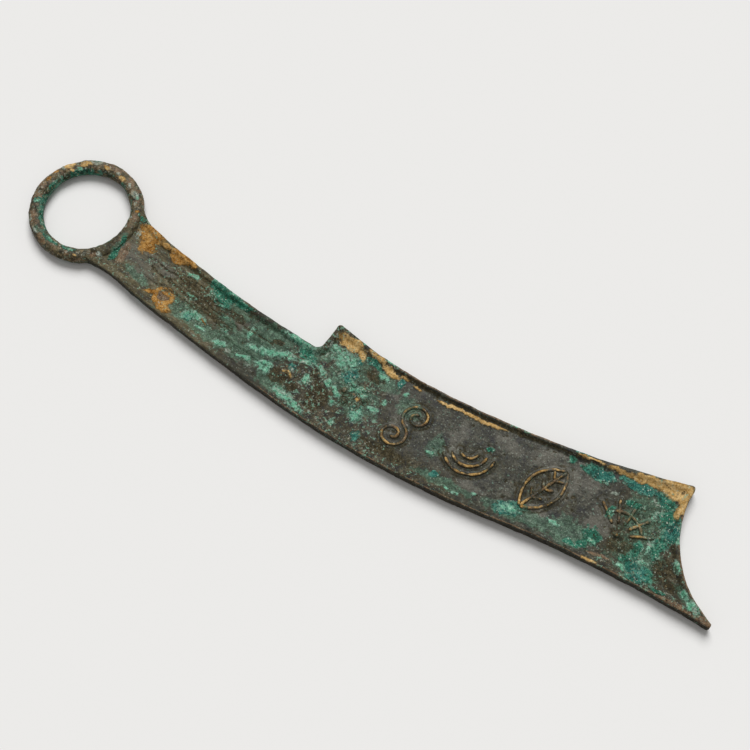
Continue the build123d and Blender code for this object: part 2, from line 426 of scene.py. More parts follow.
TILT = np.array(((0.80, 0.36, -0.48), (-0.60, 0.48, -0.64), (0.0, 0.80, 0.60)))


def soft_noise(places, cell, seed):
    """Smooth noise from -1 to 1 that changes over about one cell, in mm."""
    scaled = places @ TILT / cell
    base = np.floor(scaled).astype(np.int64)
    part = scaled - base
    part = part * part * (3 - 2 * part)
    total = np.zeros(len(places))
    for number in range(8):
        step_by = (number & 1, number >> 1 & 1, number >> 2 & 1)
        share = np.ones(len(places))
        for axis in range(3):
            share = share * (part[:, axis] if step_by[axis] else 1 - part[:, axis])
        total += share * chance(*(base[:, axis] + step_by[axis] for axis in range(3)), seed)
    return total


def rough_noise(places, cell, seed, layers=3):
    """Noise with finer and fainter noise laid over it."""
    total = sum(soft_noise(places, cell / 2 ** n, seed + 17 * n) / 2 ** n for n in range(layers))
    return total / 1.4


def ease(low, high, values):
    """0 below low, 1 above high, and a smooth rise between."""
    share = np.clip((values - low) / (high - low), 0, 1)
    return share * share * (3 - 2 * share)


def distance_to(path, places, group=3000):
    """The distance in mm from each place to a path."""
    starts, spans = path[:-1], np.diff(path, axis=0)
    squares = (spans ** 2).sum(1) + 1e-12
    nearest = np.empty(len(places))
    for first in range(0, len(places), group):
        offset = places[first:first + group, None, :] - starts
        along = ((offset * spans).sum(2) / squares).clip(0, 1)
        gap = offset - along[..., None] * spans
        nearest[first:first + group] = (gap ** 2).sum(2).min(1)
    return np.sqrt(nearest)


# %% [markdown]
# The relief on the blade is ornament of our own: a rosette, a scroll, scales, a leaf and a
# fan. Each motif is a few strokes, placed on the middle of the CAD solid that it replaces.
# A stroke is only a path for now, because the blade's skin has to know where they all are:
# it swells a little under each stroke, and the hollows beside them get painted shade.

# %% The strokes of the five motifs
def around(middle, radius, first, last, count=40):
    """Points on a circle from one angle to another, in degrees."""
    angles = np.radians(np.linspace(first, last, count))
    return np.asarray(middle) + np.stack((np.cos(angles), np.sin(angles)), 1) * radius


def turned(path, degrees):
    """A path turned about its origin."""
    turn = math.radians(degrees)
    return path @ np.array(((math.cos(turn), math.sin(turn)), (-math.sin(turn), math.cos(turn))))


def straight(start, end, count=24):
    return np.linspace(start, end, count)


def rosette_strokes():
    """A pellet in a ring of six."""
    centres = [(0.0, 0.0)] + [tuple(place) for place in around((0, 0), 2.6, 0, 300, 6)]
    return [np.array((centre, centre)) for centre in centres]


def scroll_strokes():
    """An S of two spirals, each made of half circles that shrink."""
    parts, end = [], 0.0
    for turn, radius in enumerate((2.9, 2.0, 1.1)):
        way = 1 if turn % 2 == 0 else -1
        first = 180 if way > 0 else 0
        parts.append(around((end + way * radius, 0), radius, first, first - 180))
        end += 2 * way * radius
    spiral = joined(*parts)
    return [joined(turned(spiral, 180)[::-1], spiral)]


def scale_strokes():
    """Arcs one inside the next, as on a fish's scale."""
    return [around((0, -2.2), radius, 15, 165) for radius in (2.2, 4.1, 6.0)]


def leaf_strokes():
    """A pointed leaf with a midrib and three pairs of veins."""
    stem, point = (-6.75, 0.0), (6.75, 0.0)
    strokes = [arc_bowed(stem, point, side * 3.6, 60) for side in (-1, 1)]
    strokes.append(straight(stem, point))
    for station in (-3.4, -0.2, 3.0):
        for side in (-1, 1):
            reach = turned(np.array(((0.0, 0.0), (2.6, 0.0))), side * 48.0)
            strokes.append(straight((station, 0.0), reach[1] + (station, 0.0), 12))
    return strokes


def fan_strokes():
    """Five rays that spread from a pellet, tied by an arc."""
    strokes = [around((0, 0), 5.3, -58, 58)]
    for degrees in np.linspace(-58, 58, 5):
        strokes.append(turned(straight((2.4, 0.0), (8.2, 0.0)), degrees))
    strokes.append(np.zeros((2, 2)))
    return strokes


def placed(strokes, node, degrees):
    """Strokes turned, and moved so that their middle is the middle of a CAD node."""
    strokes = [turned(stroke, degrees) for stroke in strokes]
    every = np.vstack(strokes)
    low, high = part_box(node)
    middle = ((low + high) / 2 - ring_middle) / MM
    shift = np.array((middle.x, middle.y)) - (every.min(0) + every.max(0)) / 2
    return [stroke + shift for stroke in strokes]


motifs = {
    "rosette_relief": placed(rosette_strokes(), "rosette_relief", 0.0),
    "scroll_relief": placed(scroll_strokes(), "scroll_relief", 62.0),
    "scales_relief": placed(scale_strokes(), "scales_relief", 200.0),
    "leaf_relief": placed(leaf_strokes(), "leaf_relief", 66.0),
    "fan_relief": placed(fan_strokes(), "fan_relief", 82.0),
}
print({name: len(strokes) for name, strokes in motifs.items()})

# %% [markdown]
# Two worn ridges run along each face of the grip, and three plain bars cross the reverse by
# the root of the blade. The CAD nodes' boxes say where they lie.

# %% Ridges and bars
RIDGE_PITCH = 3.6
BAR_PITCH = 3.4


def ridge_paths():
    """Two lines along the middle of the grip."""
    columns = slice(22, -24)
    middle = (grip_plan[0, columns] + grip_plan[-1, columns]) / 2
    low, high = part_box("grip_ridges_obverse")
    start, end = (low.x - ring_middle.x) / MM, (high.x - ring_middle.x) / MM
    stations = np.linspace(start + 0.3, end - 0.3, 150)
    line = np.stack((stations, np.interp(stations, middle[:, 0], middle[:, 1])), 1)
    return [line + (0.0, side * RIDGE_PITCH / 2) for side in (-1, 1)]


def bar_paths():
    """Three short lines across the blade, side by side."""
    low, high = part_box("reverse_bars")
    middle = ((low + high) / 2 - ring_middle) / MM
    half = (high.y - low.y) / MM / 2 - 0.7
    stations = [middle.x + number * BAR_PITCH for number in (-1, 0, 1)]
    return [straight((x, middle.y - half), (x, middle.y + half), 60) for x in stations]


grip_ridges = ridge_paths()
reverse_bars = bar_paths()
obverse_strokes = [stroke for strokes in motifs.values() for stroke in strokes]
print("ridge from", grip_ridges[0][0].round(1), "to", grip_ridges[0][-1].round(1))

# %% [markdown]
# Copper salts and earth settle in patches. On the face that we see, the patches lie where the
# photograph shows them: each is an oval, given by its middle, half its length, half its width
# and its turn in degrees. The reverse can't be seen, so its patches are drawn by chance.

# %% Patches on the obverse
yellow_earth = [
    (17.6, 2.7, 3.6, 1.8, -4), (18.1, -0.3, 2.0, 2.1, 0), (15.6, 1.9, 1.2, 1.5, 0),
    (22.4, 1.9, 1.6, 0.6, -5), (26.6, 1.1, 3.3, 1.2, -9), (26.4, -0.1, 1.4, 0.9, 0),
    (30.0, 0.9, 1.5, 0.9, -15), (25.2, -9.6, 1.4, 0.6, 20), (30.4, -11.9, 2.0, 1.2, -12),
    (29.0, -8.8, 0.9, 0.5, 0), (72.2, 3.3, 3.3, 1.5, -3), (75.9, 1.9, 1.5, 0.9, -40),
    (79.4, 3.2, 2.6, 0.7, -4), (83.8, 2.0, 2.4, 0.8, -15), (87.4, 2.2, 1.1, 0.5, 0),
    (91.0, 1.7, 1.2, 0.3, 0), (101.0, 1.85, 4.2, 0.42, 3), (105.4, 2.2, 2.5, 0.34, 5),
    (109.8, 2.7, 3.4, 0.4, 7), (152.0, 10.4, 4.2, 2.3, 12), (154.4, 7.4, 0.9, 3.2, 0),
    (146.0, 9.2, 5.2, 1.0, 12), (139.4, 8.0, 4.0, 0.5, 10), (132.4, 7.0, 3.4, 0.3, 8),
    (80.8, -7.4, 0.7, 0.7, 0), (64.0, -10.6, 1.3, 0.45, -10), (142.4, -13.7, 1.8, 0.4, 2),
    (40.4, -9.6, 1.0, 0.3, -30),
]
earth_ring = (28.6, -9.5, 1.95)
deep_green = [
    (40.6, -1.4, 4.4, 1.7, -6), (41.3, -3.3, 2.4, 1.3, 0), (44.8, -1.6, 2.4, 0.9, -8),
    (47.8, -1.4, 1.8, 0.5, 0), (65.5, -4.6, 3.0, 1.3, -6), (63.0, -3.0, 3.0, 0.9, -3),
    (79.8, 1.5, 2.6, 0.9, -8), (87.2, 0.7, 0.9, 0.9, 0), (76.8, 0.3, 0.7, 1.0, 0),
    (76.2, -3.6, 1.9, 2.0, -40), (135.4, 5.0, 3.6, 1.5, 5), (129.0, 4.8, 1.0, 1.0, 0),
    (144.8, 7.1, 4.8, 1.4, 3), (151.2, 6.9, 2.8, 1.6, -20), (145.4, 2.7, 2.2, 0.8, 0),
    (153.6, 3.2, 2.8, 2.3, -30), (155.0, 0.6, 2.0, 2.5, 0), (154.0, -3.6, 1.6, 2.9, 0),
    (150.2, -6.2, 1.1, 2.0, 10), (150.2, -9.6, 2.6, 1.4, -20), (154.2, -10.3, 2.1, 1.6, 0),
    (152.8, -12.0, 2.2, 0.7, 0), (140.5, -8.4, 2.2, 1.9, -35), (139.4, -11.0, 1.5, 0.9, 0),
    (141.5, -1.3, 1.0, 1.6, 0), (122.3, -12.3, 3.4, 1.6, 28), (104.4, -14.0, 0.9, 1.1, 0),
    (112.0, -2.7, 1.0, 0.6, 0), (64.0, -8.9, 1.1, 1.0, -45), (85.0, -15.3, 1.0, 1.3, 0),
    (130.0, 7.1, 1.5, 0.5, 8), (12.6, -2.6, 0.6, 1.4, 0), (12.6, -6.0, 0.6, 2.2, -8),
    (13.6, 4.7, 1.2, 0.8, 0), (66.4, -15.6, 1.9, 0.7, -8), (82.2, -10.8, 1.5, 1.6, 0),
    (158.0, -11.9, 1.8, 0.6, 0), (137.2, -12.0, 1.6, 0.8, 0), (36.9, -10.5, 1.3, 1.0, 30),
]
pale_green = [
    (37.1, 0.2, 1.0, 0.4, -20), (42.9, -0.4, 1.2, 0.35, -15), (38.4, -3.0, 1.1, 0.45, -25),
    (41.2, -4.1, 1.4, 0.45, 0), (37.0, -10.0, 2.0, 1.1, 30), (39.6, -9.4, 1.5, 0.8, -10),
    (40.6, -11.6, 1.4, 0.4, 0), (34.8, -5.8, 1.5, 0.45, 0), (31.6, -1.5, 1.6, 0.45, 0),
    (43.8, -6.4, 1.5, 0.35, -15), (45.6, -9.0, 1.0, 0.9, -40), (46.6, -12.2, 1.4, 0.6, 8),
    (51.3, -6.6, 0.6, 1.4, 0), (57.6, -8.3, 3.0, 0.9, 10), (58.2, -11.8, 2.0, 1.3, 0),
    (53.0, -12.6, 1.6, 0.5, 0), (53.6, -9.4, 1.8, 0.6, 0), (61.6, -7.2, 2.5, 0.8, 8),
    (62.6, -6.7, 1.4, 0.5, -5), (66.8, -6.2, 2.2, 0.45, 12), (62.0, -2.7, 4.2, 0.8, -3),
    (68.2, -9.6, 1.1, 1.3, 0), (66.0, -15.5, 2.8, 1.0, -8), (69.4, -16.4, 2.6, 0.8, -14),
    (72.6, -0.8, 1.8, 2.2, 20), (70.3, 0.6, 1.0, 1.0, 0), (75.2, -0.8, 1.2, 1.0, 0),
    (82.8, 0.1, 1.4, 0.8, -10), (89.4, -1.4, 0.7, 0.7, 0), (80.8, -5.8, 1.7, 0.8, 0),
    (78.4, -5.6, 1.2, 1.1, 0), (84.9, -8.3, 1.4, 0.5, 10), (86.4, -5.3, 0.7, 0.6, 0),
    (82.4, -11.2, 1.7, 1.3, 0), (70.4, -6.1, 0.9, 1.5, 35), (73.0, -7.8, 0.8, 1.0, 0),
    (75.6, -8.9, 1.8, 0.6, -35), (76.0, -11.4, 1.2, 0.7, -30), (78.6, -15.4, 0.6, 1.0, 0),
    (82.4, 3.9, 2.0, 0.5, -12), (75.8, 4.7, 0.9, 0.4, 0), (115.7, 5.1, 2.2, 0.35, 6),
    (101.0, -10.2, 1.0, 0.4, 10), (108.0, -15.6, 0.6, 0.35, 0), (110.4, -15.6, 0.8, 0.5, 0),
    (114.4, -13.3, 0.5, 0.4, 0), (122.4, -12.2, 2.4, 0.9, 28), (132.0, -10.2, 1.4, 0.5, 0),
    (159.4, -5.4, 0.7, 1.2, 30), (157.1, -0.4, 0.5, 0.8, 20), (166.2, -11.3, 1.9, 1.0, -32),
    (163.4, -9.8, 1.2, 0.6, -40), (155.5, 10.4, 0.35, 2.0, 0), (142.0, -1.8, 0.6, 0.9, 0),
    (150.4, 2.9, 0.5, 1.6, 0), (152.4, -4.6, 0.6, 1.6, 0), (153.0, -8.0, 1.2, 0.6, 0),
    (141.0, -9.8, 1.0, 0.6, 0), (137.0, 3.9, 1.6, 0.4, 0), (20.0, 3.9, 0.8, 0.35, -6),
    (25.0, 3.1, 1.6, 0.3, -8), (149.0, -11.2, 0.8, 0.6, 0),
]
dark_soil_and_shade = [
    (72.6, -12.4, 2.6, 3.2, 20), (62.6, -12.2, 2.6, 1.7, 0), (58.2, -5.2, 1.2, 0.7, 0),
    (69.6, -8.0, 1.4, 1.8, 0), (39.8, -5.4, 5.0, 1.1, -8), (46.4, -4.6, 2.4, 0.9, -10),
    (81.2, -1.0, 2.4, 1.1, 0), (146.4, -7.2, 3.0, 1.8, 0), (157.4, -7.4, 2.4, 2.4, 20),
    # (90.0, 2.6) and (115.0, 3.9) follow the dark line on the slope inside the back rim: painted
    # shade.
    (92.0, -15.4, 6.0, 1.2, 0), (115.0, 3.9, 2.2, 0.5, 6), (90.0, 2.6, 3.8, 0.5, -2),
    (66.6, -12.9, 1.4, 1.0, 0), (33.0, -3.4, 3.0, 0.6, -8), (44.0, -8.0, 3.2, 0.5, -8),
    (153.4, 10.8, 0.45, 0.45, 0), (160.4, -9.6, 1.6, 1.0, -30),
    (68.9, 5.3, 1.8, 1.0, 0), (72.0, 5.6, 2.6, 0.4, -6),
]
chalk_white = [
    (68.6, 2.8, 0.25, 0.6, 0), (68.8, 0.4, 0.3, 0.8, 0), (69.0, -1.8, 0.25, 0.7, 0),
    (65.2, -15.0, 1.8, 0.35, 10),
    (67.8, -15.2, 0.9, 0.4, 0), (49.1, -12.8, 0.9, 0.5, 0), (54.8, -13.6, 0.9, 0.4, 0),
    (83.4, 3.9, 0.9, 0.3, -12), (14.6, 1.0, 0.5, 1.1, 10), (64.4, -9.4, 0.8, 0.35, -30),
    (66.8, -6.4, 1.8, 0.25, 12), (152.0, -3.8, 0.8, 0.5, 0), (166.8, -11.6, 0.9, 0.4, -30),
    (115.6, 5.2, 1.2, 0.2, 6), (149.2, 5.6, 1.2, 0.25, 5), (150.3, 3.3, 0.3, 1.2, 0),
    (140.6, 2.6, 0.9, 0.4, 20), (63.2, -6.5, 0.9, 0.2, -5),
]
green_veil = [
    (56.0, -6.0, 6.5, 4.0, 0), (52.0, -11.0, 7.0, 2.8, -5), (66.0, -3.2, 4.0, 2.2, 0),
    (75.6, -3.6, 4.6, 4.6, 0), (81.0, -8.0, 5.0, 4.0, 0), (84.0, -1.0, 4.0, 2.4, 0),
    (101.4, -8.6, 2.0, 2.4, 0), (126.0, -12.4, 10.0, 1.7, 8), (136.0, -10.4, 4.6, 3.2, 0),
    (150.0, 1.6, 6.0, 6.0, 0), (151.0, -8.0, 6.0, 4.6, 0), (36.0, -9.6, 5.6, 2.6, -8),
    (45.0, -3.4, 5.0, 2.2, -6), (42.0, -11.6, 6.0, 2.0, -6), (20.0, -8.0, 4.0, 1.2, -8),
    (62.0, -14.4, 5.0, 2.0, -8), (163.0, -10.0, 3.0, 1.0, -30), (92.0, -3.6, 3.0, 2.4, 0),
    (107.0, -14.8, 8.0, 1.2, 3), (69.4, -1.0, 1.6, 2.2, 0), (45.5, -7.6, 3.4, 1.6, -8),
]

rubbed_tan = [
    (169.0, -12.7, 2.4, 1.0, 0), (14.3, -5.2, 0.9, 2.8, 0), (28.6, -9.8, 1.5, 1.2, 0),
    (143.8, -11.6, 2.6, 0.45, 12), (162.0, -12.9, 5.0, 0.4, 0),
]
# On the blade, from x 86 to 141, these light patches are partly pale dust and partly a painted
# sheen on the field.
pale_dust_and_sheen = [
    (118.5, 0.6, 5.5, 1.8, 5), (124.8, 1.8, 5.0, 2.8, 8), (131.5, -0.4, 2.6, 5.0, 0),
    (134.6, 1.6, 3.0, 2.4, 0), (112.5, -12.8, 4.0, 1.4, 8), (127.6, -10.4, 2.6, 2.0, 0),
    (104.8, -5.0, 1.6, 4.2, 0), (16.2, -4.0, 3.4, 3.8, 0), (86.6, -2.6, 2.4, 1.0, -20),
    (141.0, -4.4, 3.0, 3.5, 0), (114.0, 1.4, 3.0, 1.2, 5), (91.0, -7.0, 2.0, 4.0, 15),
    (24.0, -3.2, 4.0, 1.6, -10), (20.0, -6.0, 4.5, 2.6, 0), (48.0, -5.6, 5.0, 1.2, -8),
]
blue_green = [
    (137.0, 5.2, 3.5, 2.4, 5), (144.8, 6.8, 5.0, 2.0, 3), (130.0, 7.2, 2.0, 1.0, 0),
    (87.2, 0.7, 1.6, 1.6, 0), (76.6, -2.6, 2.6, 4.0, -30), (121.4, -12.8, 3.4, 2.2, 20),
    (104.4, -14.0, 1.5, 1.8, 0), (152.6, -10.6, 2.6, 1.8, -20), (64.0, -8.9, 1.8, 1.8, 0),
    (85.0, -15.3, 1.6, 1.8, 0), (36.6, -10.4, 1.8, 1.6, 0), (155.0, 1.4, 1.6, 2.4, 0),
    (81.0, -11.4, 1.6, 2.0, 0), (114.4, -13.4, 1.2, 1.2, 0), (98.0, -6.0, 3.0, 3.0, 0),
]
olive_stain = [
    (95.6, -1.8, 3.0, 3.6, 0), (93.4, -12.4, 5.0, 2.6, 0), (108.6, -7.4, 4.6, 4.4, 0),
    (126.0, -4.8, 4.6, 5.6, 0), (121.6, 3.2, 5.0, 1.0, 8), (133.0, -4.4, 2.2, 2.6, 0),
    (146.0, -6.0, 4.0, 4.0, 0), (103.0, 0.6, 4.0, 1.4, 5), (88.4, -14.0, 5.0, 2.0, 0),
    (116.4, -5.4, 3.0, 2.8, 0), (87.6, -9.4, 2.6, 3.0, 0),
]

# %% Patches on the ring
# The photograph shows the ring as a string of spots of every colour of the finish.
ring_patches = {
    "earth": [
        (-10.5, 8.0, 1.3, 0.8, 50), (-7.1, 10.2, 1.4, 0.7, 32), (-12.1, 4.2, 0.8, 0.7, 0),
        (-12.2, 2.0, 0.6, 0.6, 0), (-2.0, 11.6, 1.0, 0.5, 5), (2.6, 11.3, 1.3, 0.5, -12),
        (10.9, 5.6, 0.6, 0.5, -55), (-9.0, 7.2, 0.6, 0.4, 40), (4.9, -11.6, 0.6, 0.3, 20),
    ],
    "tan": [
        (-12.4, 5.8, 0.9, 0.9, 0), (-12.7, 0.1, 1.0, 1.0, 0), (-11.9, -3.0, 0.9, 0.9, 0),
        (11.4, 3.6, 1.0, 1.0, 0), (10.9, 1.6, 0.9, 0.9, 0), (0.3, 12.4, 1.4, 0.8, 0),
        (5.2, 11.3, 1.2, 0.9, -25), (-9.4, -8.4, 1.6, 0.8, -45), (-4.6, -11.7, 1.8, 0.7, -20),
        (9.0, -9.2, 1.2, 0.8, 45), (9.4, 8.0, 0.9, 0.8, -45),
    ],
    "chalk": [
        (-5.2, 11.6, 1.5, 0.7, 25), (-8.6, 10.6, 0.7, 0.35, 40), (-11.2, 6.4, 0.6, 0.5, 0),
        (7.9, 9.1, 1.5, 0.8, -38), (5.6, 10.5, 0.7, 0.4, -25), (-12.4, -1.8, 0.4, 0.5, 0),
        (10.5, 3.4, 0.35, 0.5, 0), (10.9, 1.2, 0.4, 0.5, 0), (-9.8, -8.8, 1.0, 0.35, -45),
        (10.0, -8.3, 0.6, 0.5, 40), (-6.8, -11.0, 0.9, 0.35, -30), (9.1, 7.2, 0.5, 0.45, 0),
        (-12.3, 6.9, 0.4, 0.4, 0), (1.2, 11.9, 0.5, 0.4, 0),
    ],
    "green": [
        (-11.5, -4.3, 0.9, 0.8, 0), (-2.2, -11.1, 2.4, 0.6, -8), (2.4, -10.9, 1.8, 0.6, 8),
        (-8.3, -6.8, 1.5, 0.6, -55), (12.7, -2.6, 0.6, 1.4, 0), (12.7, -5.6, 0.6, 2.2, -10),
        (-9.6, -1.6, 0.5, 2.4, 5), (12.4, 5.4, 0.7, 0.6, 0), (-5.6, 12.5, 1.4, 0.4, 25),
    ],
    "pale": [
        (-11.3, -4.6, 0.5, 0.5, 0), (-1.8, -11.0, 1.2, 0.3, -8), (3.0, -10.8, 1.0, 0.3, 8),
        (-7.8, 8.6, 0.6, 0.4, 0), (8.6, 8.8, 0.7, 0.4, -40),
    ],
    # The spots on the inner edge at the left and top, and the one at the outer bottom, lie where
    # the ring is in shade: partly soil and partly painted shade.
    "soil_and_shade": [
        (-10.4, 5.8, 0.6, 0.6, 0), (12.9, 1.2, 0.35, 0.8, 0), (-9.6, 5.0, 0.8, 1.0, 0),
        (3.4, -12.9, 2.4, 0.8, 8), (-10.9, -1.0, 0.7, 1.0, 0), (-0.6, 10.4, 1.4, 0.4, 0),
    ],
    "veil": [(12.4, -4.4, 1.0, 4.4, 0), (-4.0, -11.0, 3.0, 0.9, -12), (-9.8, -3.6, 0.8, 3.4, 10)],
}

# %% [markdown]
# A patch of crust has a ragged border. We get one by bending the places with noise before we
# ask how deep they lie in an oval. The border stays soft here, half a millimetre or more
# wide: the finish then lets a finer noise decide, grain by grain, where the crust ends.

# %% Soft ragged patches
def in_ovals(places, ovals, soft=0.95):
    """How deep each place lies in the nearest oval: 1 well inside, 0.5 on its line, 0 outside."""
    depth = np.zeros(len(places))
    for x, y, half_length, half_width, degrees in ovals:
        near = np.flatnonzero(np.abs(places[:, 0] - x) < 2 * max(half_length, half_width))
        turn = math.radians(degrees)
        dx, dy = places[near, 0] - x, places[near, 1] - y
        along = (dx * math.cos(turn) + dy * math.sin(turn)) / half_length
        across = (dy * math.cos(turn) - dx * math.sin(turn)) / half_width
        value = ((1 - np.hypot(along, across)) / soft + 0.5).clip(0, 1)
        depth[near] = np.maximum(depth[near], value)
    return depth


def bent(places, reach, cell, seed):
    """Places moved about by noise, so that what is drawn on them loses its neat edge."""
    moved = places.copy()
    for axis in range(2):
        moved[:, axis] += reach * rough_noise(places, cell, seed + 100 * axis, 2)
    return moved


def chance_ovals(seed, count, least, most):
    """Ovals scattered over the knife, for the face that the photograph doesn't show."""
    draw = np.random.default_rng(seed)
    ovals = []
    for number in range(count):
        x = draw.uniform(-12, 168)
        y = draw.uniform(-14, 3) - 0.06 * (x - 20) * (x < 80) + 0.05 * max(0, x - 120)
        size = draw.uniform(least, most)
        ovals.append((x, y, size * draw.uniform(1, 2.2), size, draw.uniform(-30, 30)))
    return ovals


obverse_patches = {
    "green": deep_green, "pale": pale_green, "earth": yellow_earth, "soil_and_shade": dark_soil_and_shade,
    "chalk": chalk_white, "tan": rubbed_tan, "veil": green_veil, "dust_and_sheen": pale_dust_and_sheen,
    "stain": olive_stain, "blue": blue_green,
}
reverse_patches = {
    "green": chance_ovals(11, 34, 0.8, 2.4), "pale": chance_ovals(12, 56, 0.5, 1.9),
    "earth": chance_ovals(13, 9, 0.4, 1.7), "soil_and_shade": chance_ovals(14, 34, 0.8, 2.8),
    "chalk": chance_ovals(16, 26, 0.3, 0.7), "tan": chance_ovals(15, 14, 0.6, 1.6),
    "veil": chance_ovals(17, 30, 2.0, 4.5), "dust_and_sheen": chance_ovals(18, 14, 2.0, 4.0),
    "stain": chance_ovals(19, 14, 2.0, 4.0), "blue": chance_ovals(20, 12, 3.0, 7.0),
}
TINTS = tuple(obverse_patches) + ("khaki", "brown", "warm", "flecks", "sheen")


def tints_at(places, facing, ring=False):
    """The tints, 0 to 1, at places on the casting; facing is 1 on the obverse, -1 below."""
    loose = bent(bent(places, 0.6, 2.3, 5), 0.3, 0.7, 9)
    top, under = ease(-0.5, 0.5, facing), ease(0.5, -0.5, facing)
    fine = rough_noise(places, 0.6, 21)
    broad = rough_noise(places, 5.0, 23)
    x = places[:, 0] + 3 * broad
    tint = {}
    for name, unseen in reverse_patches.items():
        seen = ring_patches.get(name, []) if ring else obverse_patches[name]
        depth = in_ovals(loose, seen) * top + in_ovals(loose, unseen) * under
        tint[name] = (depth + 0.3 * fine * (depth > 0.02)).clip(0, 1)
    if ring:
        inner = ease(ring_outer - 1.9, ring_outer - 3.2, np.hypot(places[:, 0], places[:, 1]))
        left = ease(-2.0, -6.0, places[:, 0])
        inner = inner * (0.4 + 0.35 * left + 0.35 * rough_noise(places, 2.4, 24))
        tint["green"] = np.maximum(tint["green"], inner)
        tint["khaki"] = ease(-0.35, 0.35, rough_noise(places, 1.6, 25))
        tint["brown"] = np.ones(len(places))
        tan = (0.66 - 0.16 * left) * ease(-0.45, 0.35, rough_noise(places, 1.3, 26)) * (1 - inner)
        smooth = ease(7.5, 9.5, places[:, 0]) * ease(3.0, 0.5, places[:, 1])
        tint["tan"] = np.maximum(tint["tan"], tan * (1 - 0.8 * smooth))
        tint["warm"] = ease(-9.5, -11.5, places[:, 0]) * ease(6.5, 4.5, places[:, 1])
        tint["warm"] = np.maximum(tint["warm"], ease(8, 10, places[:, 0]))
        tint["flecks"] = 1.0 - 0.7 * smooth
        tint["sheen"] = np.zeros(len(places))
        return tint
    x_ring, y_ring, radius = earth_ring
    off_ring = np.abs(np.hypot(loose[:, 0] - x_ring, loose[:, 1] - y_ring) - radius)
    tint["earth"] = np.maximum(tint["earth"], top * ease(1.1, 0.1, off_ring))
    tint["khaki"] = ease(58, 34, x)
    root = ease(58, 63, x) * ease(90, 82, x + 0.4 * places[:, 1])
    end = ease(139, 147, x)
    low = ease(-10.5, -14.5, places[:, 1] + 1.2 * broad) * ease(56, 62, x) * ease(118, 108, x)
    tint["brown"] = np.maximum.reduce((root, 0.85 * end, low))
    tint["warm"] = ease(56, 48, places[:, 0])
    spread = 0.95 + 0.7 * rough_noise(places, 3.5, 27)
    tint["flecks"] = np.maximum.reduce((root, 0.7 * end, 0.6 * tint["khaki"], 0.4 * low))
    tint["flecks"] = tint["flecks"] * spread * (1 - 0.3 * tint["soil_and_shade"]) + 0.1
    tint["sheen"] = ease(82, 90, x) * ease(146, 138, x) * ease(-15.0, -12.0, places[:, 1])
    return tint

# %% [markdown]
# Now the section of the casting. From the outline inwards the skin rounds over the rim's edge,
# runs along its crest, and slopes down to the plate, with a faint channel at its foot where
# the mould was cut deeper. Crust stands a little proud, pits sink in, and earth fills the
# channel. One function gives that height for any place, so all pieces agree with each other.

# %% The skin's height
EDGE_ROUND = 0.45
CREST_END = 0.85
SLOPE_END = 1.9
THIN_CREST = 0.4
LOW_RIM_SPREAD = 1.1
NECK_RISE = 0.3
streaks = [
    straight((20.5, -2.6), (31.0, -3.4)), straight((22.0, -4.4), (47.0, -8.2)),
    straight((30.0, -3.4), (46.0, -4.8)), straight((25.0, -6.6), (39.0, -8.4)),
    straight((31.0, -1.9), (41.0, -3.7)), straight((44.0, -5.4), (57.0, -6.2)),
    straight((27.5, -5.4), (36.0, -6.4)), straight((36.0, -7.3), (46.0, -9.0)),
]


def near_strokes(places, strokes):
    """The distance from each place to the nearest of some strokes."""
    away = np.full(len(places), 9.0)
    for stroke in strokes:
        low, high = stroke.min(0) - 2.5, stroke.max(0) + 2.5
        close = np.flatnonzero(((places > low) & (places < high)).all(1))
        if len(close):
            away[close] = np.minimum(away[close], distance_to(stroke, places[close]))
    return away


def band(values, middle, reach):
    """1 at the middle value, and softly down to 0 on both sides of it."""
    return np.exp(-((values - middle) / reach) ** 2)


